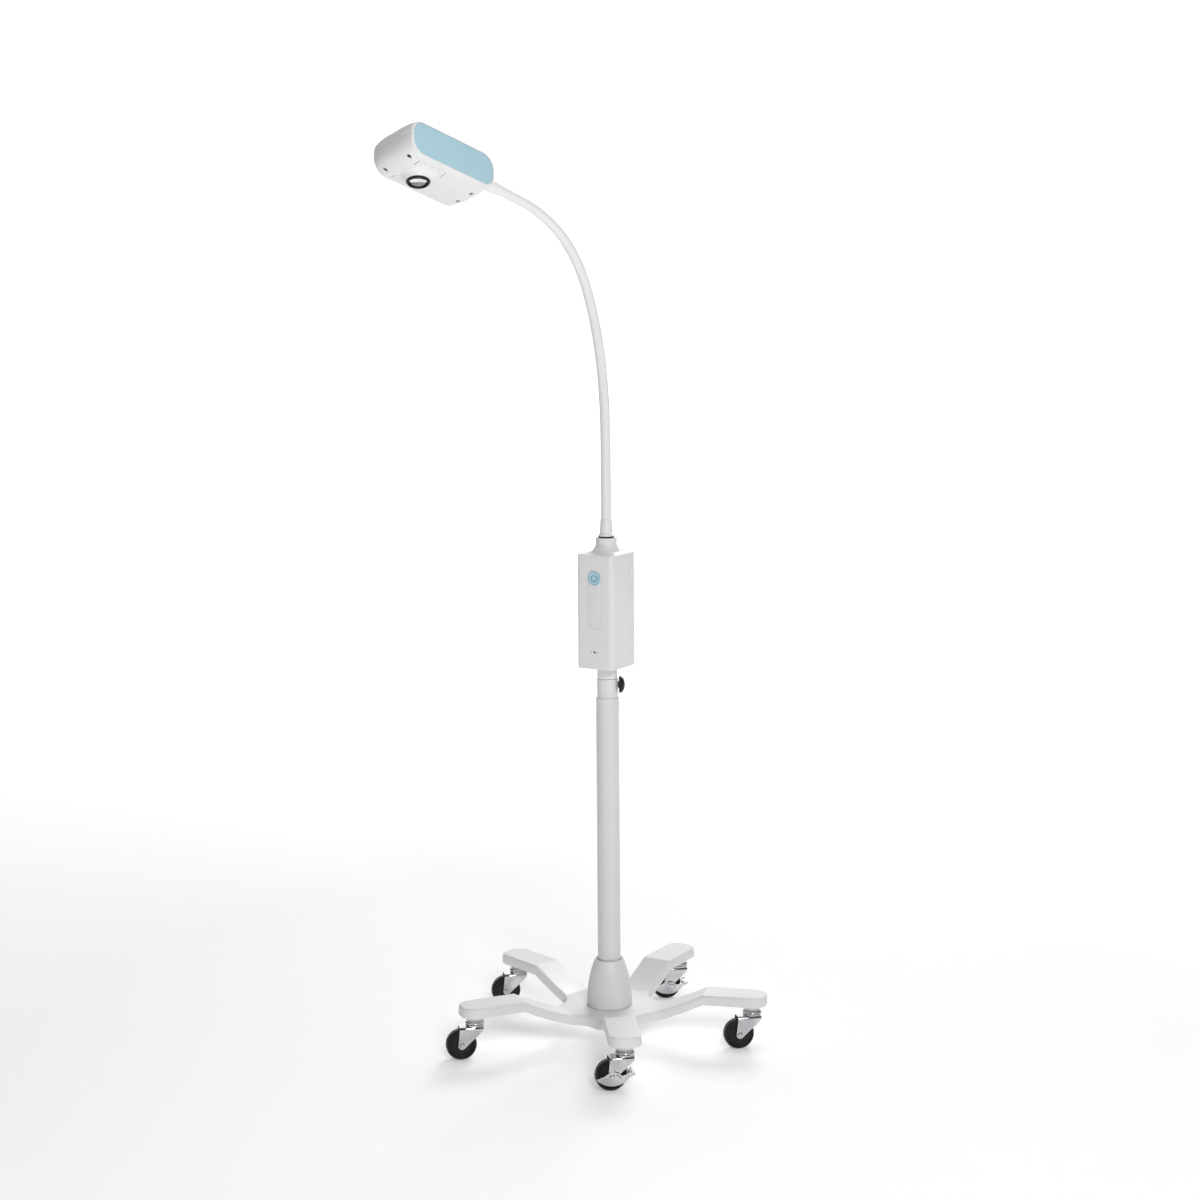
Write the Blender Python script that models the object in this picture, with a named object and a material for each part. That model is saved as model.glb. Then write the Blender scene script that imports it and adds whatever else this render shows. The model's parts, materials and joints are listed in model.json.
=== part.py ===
"""Mobile examination light on a five-leg caster base.

Frame: metres, +Z up, origin on the floor under the pole axis.  The face of the
power unit that carries the power icon looks along -Y.  Every sub-part is one
object; moving pieces have their origin on their joint's axis.
"""
import math

import bmesh
import bpy
import numpy as np
from mathutils import Matrix, Vector

# ---------------------------------------------------------------- dimensions
GAP = 0.0003                    # clearance between touching pieces

# base star
LEG_COUNT = 5
LEG_FIRST_ANGLE = math.radians(90.0)
LEG_WIDTH = 0.054
LEG_END = 0.2665                # radius to the rounded tip
LEG_FILLET = 0.045              # plan fillet between two legs
LEG_THICKNESS = 0.0165
HUB_TOP = 0.058
PAD_TOP = 0.091
RAMP_START, RAMP_END = 0.080, 0.163
PAD_CORNER = 0.018

# casters
STEM_CIRCLE = 0.2416
WHEEL_RADIUS = 0.0254
WHEEL_WIDTH = 0.020
WHEEL_SIDES = 20
TRAIL = 0.0228
TRAIL_ANGLE = math.radians(221.4)
AXLE_RADIUS = 0.0030
FORK_GAUGE = 0.0016
FORK_INNER = 0.0112             # half distance between the fork's legs
CROWN_BOTTOM, CROWN_TOP = 0.0540, 0.0562
RACE_RADIUS = 0.0160
BOSS_RADIUS = 0.0130
BOSS_BOTTOM = 0.0660
STEM_RADIUS = 0.0045
BRAKED = (1, 4)                 # caster numbers with a brake lever
LEVER_GAUGE = 0.0014

# pole
POLE_RADIUS = 0.01905
POLE_WALL = 0.0019
POLE_TOP = 0.583
PLUG_LENGTH = 0.030
BOLT_RADIUS = 0.0040
CONE_TOP = 0.138
INSERT_BOTTOM, INSERT_TOP = 0.520, 0.6147
COLLAR_RADIUS = 0.0165
PIN_RADIUS = 0.0110
PIN_BOTTOM = 0.545
KNOB_HEIGHT = 0.604
KNOB_AZIMUTH = math.radians(33.0)
SCREW_RADIUS = 0.0030
KNOB_RADIUS = 0.014
KNOB_INNER, KNOB_FACE = 0.0192, 0.0290   # distances of its two faces from the pole axis

# power unit
FOOT_FLARE = ((1.0, 0.6315), (0.80, 0.6335), (0.30, 0.6350), (0.0, 0.6357))   # (roundness, height)
WALL_TOP = 0.8234
UNIT_HALF_WIDTH = 0.034
UNIT_FRONT, UNIT_BACK = -0.0403, 0.0338
SEAM = 0.0165
UNIT_WALL = 0.0025
FRONT_CORNER, BACK_CORNER = 0.0085, 0.004
STUB_RADIUS, STUB_BOTTOM = 0.01665, 0.6153
ROOF_FLARE = ((0.35, 0.8248), (0.80, 0.8285), (1.0, 0.8375))
NECK_COLLAR_TOP, NECK_COLLAR_RADIUS = 0.848, 0.0172
CAVITY_END = 0.004              # the cavity stops this far inside the stub and the collar
STRIP_WIDTH, STRIP_LOW, STRIP_HIGH = 0.027, 0.7024, 0.799
STRIP_DEPTH = 0.0012
ICON_HEIGHT, ICON_RADIUS = 0.7855, 0.01125
WINDOW_HEIGHT, WINDOW_RADIUS = 0.664, 0.0018
INLET_WIDTH, INLET_HEIGHT, INLET_CENTRE = 0.027, 0.020, 0.664

# gooseneck
NECK_RADIUS = 0.0081
NECK_BASE = 0.880
NECK_AZIMUTH = math.radians(253.4)
NECK_STATION = 0.080            # distance between the bend angles below
NECK_BENDS = (0.0, 0.0, 1.5, 7.5, 14.5, 24.6, 46.9, 67.1, 72.1)
NECK_STRAIGHT = 0.616           # the gland holds the neck straight from here
FIRST_PIVOT, PIVOT_STEP, PIVOT_COUNT = 0.040, 0.062, 10
DOME_OFFSET = 0.0085            # from a pivot to the dome centre of a neck length
NECK_TIP, HEAD_END = 0.624, 0.670
FERRULE_BOTTOM, FERRULE_TOP = 0.8505, 0.878
NECK_SIDES = 12

# head, in its own axes: x to the front, y to the side, z to the top
HEAD_ROLL = math.radians(21.1)
HEAD_CENTRE = Vector((0.0823, 0.0, -0.0102))
PANEL_LENGTH, PANEL_HEIGHT = 0.1566, 0.0509
PANEL_CORNER = 0.0195
PANEL_GAUGE = 0.0014
HEAD_HALF_WIDTH = 0.0432
HEAD_BORDER = 0.004             # white rim round a side panel
BELLY = 0.0045                  # how far the shell swells between the sides
SHELL_WALL = 0.0024
PARTING = 0.0005                # height of the shells' parting plane
LENS_X = 0.0325
BOSS_BASE_RADIUS, BOSS_TIP_RADIUS, BOSS_TIP = 0.026, 0.0195, -0.0415
BEZEL_RADIUS, BEZEL_BORE = 0.0180, 0.0140


# X stays, an outline's second axis turns upright and its height runs along Y
UPRIGHT = Matrix(((1, 0, 0), (0, 0, 1), (0, 1, 0))).to_4x4()


# ------------------------------------------------------------------- helpers
def clear_scene():
    """Remove the objects that the file opens with."""
    for item in list(bpy.data.objects):
        bpy.data.objects.remove(item, do_unlink=True)


def material(name, colour, roughness, metallic=0.0, alpha=1.0):
    """A Principled material with one colour."""
    made = bpy.data.materials.new(name)
    made.use_nodes = True
    shader = made.node_tree.nodes["Principled BSDF"]
    shader.inputs["Base Color"].default_value = (*colour, 1.0)
    shader.inputs["Roughness"].default_value = roughness
    shader.inputs["Metallic"].default_value = metallic
    shader.inputs["Alpha"].default_value = alpha
    return made


def add_mesh(name, vertices, faces, finish, smooth=True, triangles=False):
    """One object from vertices and faces, with its faces turned outwards."""
    mesh = bpy.data.meshes.new(name)
    mesh.from_pydata([tuple(v) for v in vertices], [], [tuple(f) for f in faces])
    work = bmesh.new()
    work.from_mesh(mesh)
    bmesh.ops.remove_doubles(work, verts=work.verts, dist=1e-6)
    bmesh.ops.recalc_face_normals(work, faces=work.faces)
    if triangles:
        bmesh.ops.triangulate(work, faces=work.faces)
    work.to_mesh(mesh)
    work.free()
    if smooth:
        mesh.shade_smooth()
        mesh.set_sharp_from_angle(angle=math.radians(35.0))
    if finish is not None:
        mesh.materials.append(finish)
    item = bpy.data.objects.new(name, mesh)
    bpy.context.scene.collection.objects.link(item)
    return item


def lathe(profile, sides, phase=0.0):
    """Turn (radius, height) points about Z.

    A profile that starts and ends on the axis makes a solid; any other
    profile is closed into a ring.
    """
    solid = profile[0][0] == 0.0
    rows = profile[1:-1] if solid else profile
    turns = phase + np.arange(sides) * 2.0 * math.pi / sides
    vertices = [(r * math.cos(t), r * math.sin(t), z) for r, z in rows for t in turns]
    count = len(rows)
    pairs = count - 1 if solid else count
    faces = []
    for row in range(pairs):
        after = (row + 1) % count
        for k in range(sides):
            n = (k + 1) % sides
            faces.append((row * sides + k, row * sides + n, after * sides + n, after * sides + k))
    if solid:
        for pole_point, row in ((profile[0], 0), (profile[-1], count - 1)):
            vertices.append((0.0, 0.0, pole_point[1]))
            tip = len(vertices) - 1
            for k in range(sides):
                faces.append((row * sides + k, row * sides + (k + 1) % sides, tip))
    return vertices, faces


def disc(radius, low, high, sides):
    """A plain disc between two heights."""
    return lathe([(0.0, low), (radius, low), (radius, high), (0.0, high)], sides)


def prism(outline, low, high):
    """Extrude a closed outline of (x, y) points from one height to another."""
    count = len(outline)
    vertices = [(x, y, low) for x, y in outline] + [(x, y, high) for x, y in outline]
    faces = [tuple(range(count)), tuple(range(count, 2 * count))]
    for k in range(count):
        n = (k + 1) % count
        faces.append((k, n, count + n, count + k))
    return vertices, faces


def loft(rings):
    """Skin closed rings of equal length and cap both ends."""
    count = len(rings[0])
    vertices = [tuple(p) for ring in rings for p in ring]
    faces = [tuple(range(count)), tuple(range(len(vertices) - count, len(vertices)))]
    for row in range(len(rings) - 1):
        for k in range(count):
            n = (k + 1) % count
            a, b = row * count, (row + 1) * count
            faces.append((a + k, a + n, b + n, b + k))
    return vertices, faces


def rounded_outline(left, right, low, high, radii, steps=4):
    """Rounded rectangle, anticlockwise from the lower right corner.

    radii are given for the lower right, upper right, upper left and lower
    left corners.
    """
    corners = ((right, low, 1, -1), (right, high, 1, 1), (left, high, -1, 1), (left, low, -1, -1))
    points = []
    for number, ((x, y, sx, sy), radius) in enumerate(zip(corners, radii)):
        centre_x, centre_y = x - sx * radius, y - sy * radius
        for k in range(steps + 1):
            turn = math.radians(-90.0 + 90.0 * number) + math.radians(90.0) * k / steps
            points.append((centre_x + radius * math.cos(turn), centre_y + radius * math.sin(turn)))
    return points


def subdivided(outline, spacing):
    """An outline with its long edges cut into pieces no longer than about the spacing."""
    points = []
    for (x0, y0), (x1, y1) in zip(outline, outline[1:] + outline[:1]):
        pieces = max(int(round(math.hypot(x1 - x0, y1 - y0) / spacing)), 1)
        points += [(x0 + (x1 - x0) * k / pieces, y0 + (y1 - y0) * k / pieces) for k in range(pieces)]
    return points


def stadium(half_width, half_height, steps=6):
    """Upright outline with half-round ends, anticlockwise from its right side."""
    straight = half_height - half_width
    points = []
    for k in range(2 * steps + 2):
        upper = k <= steps
        turn = math.pi * (k if upper else k - 1) / steps
        centre = straight if upper else -straight
        points.append((half_width * math.cos(turn), centre + half_width * math.sin(turn)))
    return points


def bore(radius, sides):
    """Corner radius of a faceted hole whose flats clear a pin of the given radius."""
    return (radius + GAP) / math.cos(math.pi / sides)


def rotated(vertices, matrix):
    """Vertices moved by a matrix."""
    return [matrix @ Vector(v) for v in vertices]


def set_origin(item, point):
    """Put an object's origin at a world point and leave its shape in place."""
    item.data.transform(Matrix.Translation(-Vector(point)))
    item.location = point


def hide_helper(item):
    """Mark an object as a cutter or a guide."""
    item.hide_render = True
    item.display_type = "WIRE"
    return item


def boolean(target, other, operation):
    """Cut or join a target with a helper object."""
    hide_helper(other)
    step = target.modifiers.new(operation.lower(), "BOOLEAN")
    step.operation = operation
    step.solver = "EXACT"
    step.object = other


def empty_at(name, matrix):
    """An empty with a world matrix."""
    made = bpy.data.objects.new(name, None)
    made.matrix_world = matrix
    bpy.context.scene.collection.objects.link(made)
    return made


# ----------------------------------------------------------------- base star
def leg_half_width(along):
    """Half width of a leg at a distance along it, with the fillet to its neighbour."""
    half_angle = math.pi / LEG_COUNT
    half = LEG_WIDTH / 2.0
    centre = (half + LEG_FILLET) / math.sin(half_angle)
    centre_x, centre_y = centre * math.cos(half_angle), centre * math.sin(half_angle)
    valley = (centre - LEG_FILLET) * math.cos(half_angle)
    if along <= valley:
        return along * math.tan(half_angle)
    if along < centre_x:
        return centre_y - math.sqrt(LEG_FILLET ** 2 - (centre_x - along) ** 2)
    inset = LEG_END - PAD_CORNER
    if along > inset:
        return half - PAD_CORNER + math.sqrt(max(PAD_CORNER ** 2 - (along - inset) ** 2, 0.0))
    return half


def leg_rise(along):
    """Height of a leg's top above the hub's top."""
    share = min(max((along - RAMP_START) / (RAMP_END - RAMP_START), 0.0), 1.0)
    return (PAD_TOP - HUB_TOP) * share ** 1.25


def build_star(finish):
    """The one-piece base: five ramped legs that share their hub."""
    half_angle = math.pi / LEG_COUNT
    centre = (LEG_WIDTH / 2.0 + LEG_FILLET) / math.sin(half_angle)
    valley = (centre - LEG_FILLET) * math.cos(half_angle)
    centre_x = centre * math.cos(half_angle)
    fillet = [valley + (centre_x - valley) * (1.0 - math.cos(math.radians(t))) for t in (35, 62, 90)]
    tip = [LEG_END - PAD_CORNER * (1.0 - math.sin(math.radians(t))) for t in (0, 30, 60, 90)]
    ramp = [0.115, 0.130, 0.147, RAMP_END]
    stations = [0.030, valley] + fillet + ramp + tip
    across = (-1.0, 0.0, 1.0)
    vertices = [(0.0, 0.0, HUB_TOP), (0.0, 0.0, HUB_TOP - LEG_THICKNESS)]
    faces = []
    columns = len(across)
    for leg in range(LEG_COUNT):
        turn = Matrix.Rotation(LEG_FIRST_ANGLE + 2.0 * math.pi * leg / LEG_COUNT, 3, "Z")
        first = len(vertices)
        for along in stations:
            half = leg_half_width(along)
            for level in (0.0, -LEG_THICKNESS):
                for t in across:
                    place = Vector((along, t * half, HUB_TOP + leg_rise(along) + level))
                    vertices.append(turn @ place)
        for row in range(len(stations) - 1):
            near, far = first + row * 2 * columns, first + (row + 1) * 2 * columns
            for k in range(columns - 1):
                faces.append((near + k, far + k, far + k + 1, near + k + 1))
                faces.append((near + columns + k, near + columns + k + 1, far + columns + k + 1, far + columns + k))
            if stations[row] >= valley:
                for k in (0, columns - 1):
                    faces.append((near + k, far + k, far + columns + k, near + columns + k))
        last = first + (len(stations) - 1) * 2 * columns
        for k in range(columns - 1):
            faces.append((last + k, last + k + 1, last + columns + k + 1, last + columns + k))
            faces.append((first + k, first + k + 1, 0))
            faces.append((first + columns + k, first + columns + k + 1, 1))
    star = add_mesh("base_star", vertices, faces, finish)
    for leg in range(LEG_COUNT):
        x, y = stem_place(leg + 1)
        shape = lathe([(0.0, BOSS_BOTTOM), (BOSS_RADIUS, BOSS_BOTTOM), (BOSS_RADIUS + 0.0008, 0.078),
                       (0.0, 0.078)], 16)
        boss = add_mesh(f"boss_tool_{leg + 1}", *shape, None)
        boss.location = (x, y, 0.0)
        boolean(star, boss, "UNION")
        hole = add_mesh(f"stem_hole_tool_{leg + 1}",
                        *disc(bore(STEM_RADIUS, 8), 0.060, 0.0865, 8), None)
        hole.location = (x, y, 0.0)
        hole.rotation_euler = (0.0, 0.0, math.radians(11.0))
        boolean(star, hole, "DIFFERENCE")
    hub_hole = add_mesh("hub_hole_tool", *disc(bore(BOLT_RADIUS, 10), 0.030, 0.070, 10), None)
    boolean(star, hub_hole, "DIFFERENCE")


def stem_place(number):
    """Plan position of a caster's stem; casters count from 1 at the rear leg."""
    angle = LEG_FIRST_ANGLE + 2.0 * math.pi * (number - 1) / LEG_COUNT
    return STEM_CIRCLE * math.cos(angle), STEM_CIRCLE * math.sin(angle)


# ------------------------------------------------------------------- casters
def build_stem(number, finish):
    """Caster stem with its fixed upper raceway, in the base's boss."""
    x, y = stem_place(number)
    top = BOSS_BOTTOM - GAP
    profile = [(0.0, 0.0600), (RACE_RADIUS, 0.0600), (RACE_RADIUS, 0.0625),
               (0.0125, top), (STEM_RADIUS, top), (STEM_RADIUS, 0.0860), (0.0, 0.0860)]
    stem = add_mesh(f"caster_stem_{number}", *lathe(profile, 16), finish)
    stem.location = (x, y, 0.0)


def build_fork(number, finish):
    """Stamped fork: crown plate, lower raceway dish and two triangular legs."""
    x, y = stem_place(number)
    wheel_x, drop = -TRAIL, WHEEL_RADIUS
    width = FORK_INNER + FORK_GAUGE
    crown = add_mesh(f"caster_fork_{number}",
                     *prism(rounded_outline(wheel_x - 0.003, 0.0150, -width, width,
                                            (0.006, 0.006, 0.001, 0.001), 2),
                            CROWN_BOTTOM, CROWN_TOP), finish)
    dish = add_mesh(f"dish_tool_{number}",
                    *lathe([(0.0, CROWN_BOTTOM), (0.0118, CROWN_BOTTOM), (RACE_RADIUS - 0.0006, 0.0570),
                            (RACE_RADIUS - 0.0006, 0.0594), (0.0, 0.0594)], 16), None)
    boolean(crown, dish, "UNION")
    for side in (-1, 1):
        outline = [(wheel_x - 0.0030, CROWN_BOTTOM + 0.001)]
        for degrees in (172, 220, 270, 322):
            turn = math.radians(degrees)
            outline.append((wheel_x + 0.0062 * math.cos(turn), drop + 0.0062 * math.sin(turn)))
        outline += [(0.0085, 0.0460), (0.0130, 0.0500), (0.0130, CROWN_BOTTOM + 0.001)]
        vertices, faces = prism(outline, side * FORK_INNER, side * width)
        leg = add_mesh(f"fork_leg_tool_{number}_{side + 1}", rotated(vertices, UPRIGHT), faces, None)
        boolean(crown, leg, "UNION")
        place_on_caster(leg, x, y)
    hole = add_mesh(f"fork_bore_tool_{number}", *along_y(bore(AXLE_RADIUS, 8), 0.020, wheel_x, drop, 8), None)
    boolean(crown, hole, "DIFFERENCE")
    for item in (crown, dish, hole):
        place_on_caster(item, x, y)


def place_on_caster(item, x, y):
    """Turn a caster piece to the trailing direction and put it on its stem axis."""
    item.location = (x, y, 0.0)
    item.rotation_euler = (0.0, 0.0, TRAIL_ANGLE + math.pi)


def along_y(radius, half_length, x, z, sides):
    """A cylinder along Y, centred on y = 0."""
    vertices, faces = lathe([(0.0, -half_length), (radius, -half_length), (radius, half_length),
                             (0.0, half_length)], sides)
    turn = Matrix.Translation((x, 0.0, z)) @ Matrix.Rotation(math.radians(90.0), 4, "X")
    return rotated(vertices, turn), faces


def build_wheel(number, finish):
    """Solid wheel with a stepped hub, turned so that a flat facet meets the floor."""
    corner = WHEEL_RADIUS / math.cos(math.pi / WHEEL_SIDES)
    half = WHEEL_WIDTH / 2.0
    profile = [(AXLE_RADIUS + GAP, -half), (0.0080, -half), (0.0190, -0.0080), (0.0225, -half),
               (corner, -0.0065), (corner, 0.0065), (0.0225, half), (0.0190, 0.0080), (0.0080, half),
               (AXLE_RADIUS + GAP, half)]
    vertices, faces = lathe(profile, WHEEL_SIDES, math.pi / WHEEL_SIDES)
    turn = Matrix.Rotation(math.radians(90.0), 4, "X")
    wheel = add_mesh(f"caster_wheel_{number}", rotated(vertices, turn), faces, finish)
    x, y = stem_place(number)
    wheel.location = (x + TRAIL * math.cos(TRAIL_ANGLE), y + TRAIL * math.sin(TRAIL_ANGLE), WHEEL_RADIUS)
    wheel.rotation_euler = (0.0, 0.0, TRAIL_ANGLE + math.pi)


def build_axle(number, finish):
    """Axle rivet with a head outside each fork leg, or outside each brake cheek."""
    stack = FORK_INNER + FORK_GAUGE + GAP
    if number in BRAKED:
        stack += LEVER_GAUGE + GAP
    head = stack + 0.0014
    profile = [(0.0, -head), (0.0040, -head), (0.0046, -stack), (AXLE_RADIUS, -stack),
               (AXLE_RADIUS, stack), (0.0046, stack), (0.0040, head), (0.0, head)]
    vertices, faces = lathe(profile, 8)
    turn = Matrix.Translation((-TRAIL, 0.0, WHEEL_RADIUS)) @ Matrix.Rotation(math.radians(90.0), 4, "X")
    axle = add_mesh(f"caster_axle_{number}", rotated(vertices, turn), faces, finish)
    place_on_caster(axle, *stem_place(number))


def build_brake(number, finish):
    """Stamped brake lever: two cheeks outside the fork and a foot tab across the front."""
    outline = [(-0.0250, -0.0025), (-0.0215, -0.0075), (-0.0120, -0.0125), (0.0020, -0.0155),
               (0.0120, -0.0135), (0.0200, -0.0095), (0.0285, -0.0020), (0.0370, 0.0020),
               (0.0370, 0.0045), (0.0250, 0.0035), (0.0165, 0.0010), (0.0110, 0.0055),
               (0.0020, 0.0090), (-0.0060, 0.0060), (-0.0150, 0.0010)]
    inner = FORK_INNER + FORK_GAUGE + GAP
    outer = inner + LEVER_GAUGE
    cheeks = []
    for side, name in ((-1, f"brake_cheek_tool_{number}"), (1, f"brake_lever_{number}")):
        vertices, faces = prism(outline, side * inner, side * outer)
        cheeks.append(add_mesh(name, rotated(vertices, UPRIGHT), faces, finish if side == 1 else None))
    other, lever = cheeks
    tab_outline = rounded_outline(0.0285, 0.0368, -inner - 0.0005, inner + 0.0005,
                                  (0.002, 0.002, 0.0005, 0.0005), 2)
    tab = add_mesh(f"brake_tab_tool_{number}", *prism(tab_outline, 0.0022, 0.0036), None)
    hole = add_mesh(f"brake_bore_tool_{number}", *along_y(bore(AXLE_RADIUS, 8), 0.022, 0.0, 0.0, 8), None)
    boolean(lever, tab, "UNION")
    boolean(lever, other, "UNION")
    boolean(lever, hole, "DIFFERENCE")
    x, y = stem_place(number)
    for item in (lever, other, tab, hole):
        item.location = (x + TRAIL * math.cos(TRAIL_ANGLE), y + TRAIL * math.sin(TRAIL_ANGLE), WHEEL_RADIUS)
        item.rotation_euler = (0.0, 0.0, TRAIL_ANGLE + math.pi)


# ---------------------------------------------------------------------- pole
def build_pole(finish, dark_steel, cover_finish):
    """Pole tube, its foot plug and bolt, the cone cover and the adapter at its top."""
    inner = POLE_RADIUS - POLE_WALL
    foot = HUB_TOP + GAP
    add_mesh("pole", *lathe([(POLE_RADIUS, foot), (POLE_RADIUS, POLE_TOP), (inner, POLE_TOP), (inner, foot)], 32),
             finish)
    plug_radius = inner - GAP
    add_mesh("pole_plug", *lathe([(BOLT_RADIUS + GAP, foot), (plug_radius, foot),
                                  (plug_radius, foot + PLUG_LENGTH), (BOLT_RADIUS + GAP, foot + PLUG_LENGTH)], 20),
             dark_steel)
    under = HUB_TOP - LEG_THICKNESS - GAP
    add_mesh("base_bolt", *lathe([(0.0, under - 0.0075), (0.0065, under - 0.0075), (0.0075, under - 0.0020),
                                  (0.0110, under - 0.0020), (0.0110, under), (BOLT_RADIUS, under),
                                  (BOLT_RADIUS, foot + 0.022), (0.0, foot + 0.022)], 12), dark_steel)
    wall = 0.0020
    outer_line = [(0.0380, foot), (0.0368, 0.085), (0.0340, 0.104), (0.0262, 0.133), (0.0230, CONE_TOP)]
    rim = POLE_RADIUS + 0.0009
    inner_line = [(rim, CONE_TOP - 0.0004), (rim, 0.1330)]
    inner_line += [(r - wall, z) for r, z in reversed(outer_line[:3])]
    add_mesh("cone_cover", *lathe(outer_line + inner_line, 24), cover_finish)
    insert = add_mesh("pole_insert",
                      *lathe([(PIN_RADIUS + GAP, INSERT_BOTTOM), (plug_radius, INSERT_BOTTOM),
                              (plug_radius, POLE_TOP - 0.001), (COLLAR_RADIUS, POLE_TOP + 0.0003),
                              (COLLAR_RADIUS, INSERT_TOP), (PIN_RADIUS + GAP, INSERT_TOP)], 24), finish)
    screw_hole = add_mesh("screw_hole_tool", *along_y(bore(SCREW_RADIUS, 8), 0.012, 0.0, KNOB_HEIGHT, 8), None)
    screw_hole.rotation_euler = (0.0, 0.0, KNOB_AZIMUTH - math.pi / 2.0)
    screw_hole.location = (0.018 * math.cos(KNOB_AZIMUTH), 0.018 * math.sin(KNOB_AZIMUTH), 0.0)
    boolean(insert, screw_hole, "DIFFERENCE")


def build_knob(finish):
    """Clamp knob: domed disc, neck and screw, on a level axis at the knob's azimuth."""
    face, inner = KNOB_FACE, KNOB_INNER
    neck = COLLAR_RADIUS + 0.0010
    profile = [(0.0, PIN_RADIUS + GAP), (SCREW_RADIUS, PIN_RADIUS + GAP), (SCREW_RADIUS, neck), (0.0062, neck),
               (0.0066, inner), (KNOB_RADIUS, inner + 0.0005), (KNOB_RADIUS, inner + 0.0040), (0.0100, face - 0.0018),
               (0.0, face)]
    vertices, faces = lathe(profile, 16)
    turn = Matrix.Rotation(KNOB_AZIMUTH - math.pi / 2.0, 4, "Z") @ Matrix.Rotation(math.radians(-90.0), 4, "X")
    knob = add_mesh("clamp_knob", rotated(vertices, turn), faces, finish)
    knob.location = (0.0, 0.0, KNOB_HEIGHT)


# ---------------------------------------------------------------- power unit
def unit_outline(inset):
    """Plan outline of the power unit's walls, moved inwards by an inset."""
    front, back = max(FRONT_CORNER - inset, 0.002), max(BACK_CORNER - inset, 0.001)
    half = UNIT_HALF_WIDTH - inset
    corners = rounded_outline(-half, half, UNIT_FRONT + inset, UNIT_BACK - inset,
                              (front, back, back, front), 2)
    return subdivided(corners, 0.010)


def unit_ring(height, inset, roundness, circle):
    """One section of the unit: its outline drawn towards a circle about the pole axis."""
    ring = []
    for x, y in unit_outline(inset):
        angle = math.atan2(y, x)
        ring.append((x + roundness * (circle * math.cos(angle) - x),
                     y + roundness * (circle * math.sin(angle) - y), height))
    return ring


def unit_body(name, inset, finish):
    """The whole unit as one solid: stub, foot flare, walls, roof flare and neck collar."""
    end = CAVITY_END if inset else 0.0
    stub, collar = STUB_RADIUS - inset, NECK_COLLAR_RADIUS - inset
    rings = [unit_ring(STUB_BOTTOM + end, inset, 1.0, stub)]
    rings += [unit_ring(height + inset, inset, share, stub) for share, height in FOOT_FLARE]
    rings.append(unit_ring(WALL_TOP - inset, inset, 0.0, collar))
    rings += [unit_ring(height - inset, inset, share, collar) for share, height in ROOF_FLARE]
    rings.append(unit_ring(NECK_COLLAR_TOP - end, inset, 1.0, collar))
    return add_mesh(name, *loft(rings), finish, triangles=True)


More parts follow.
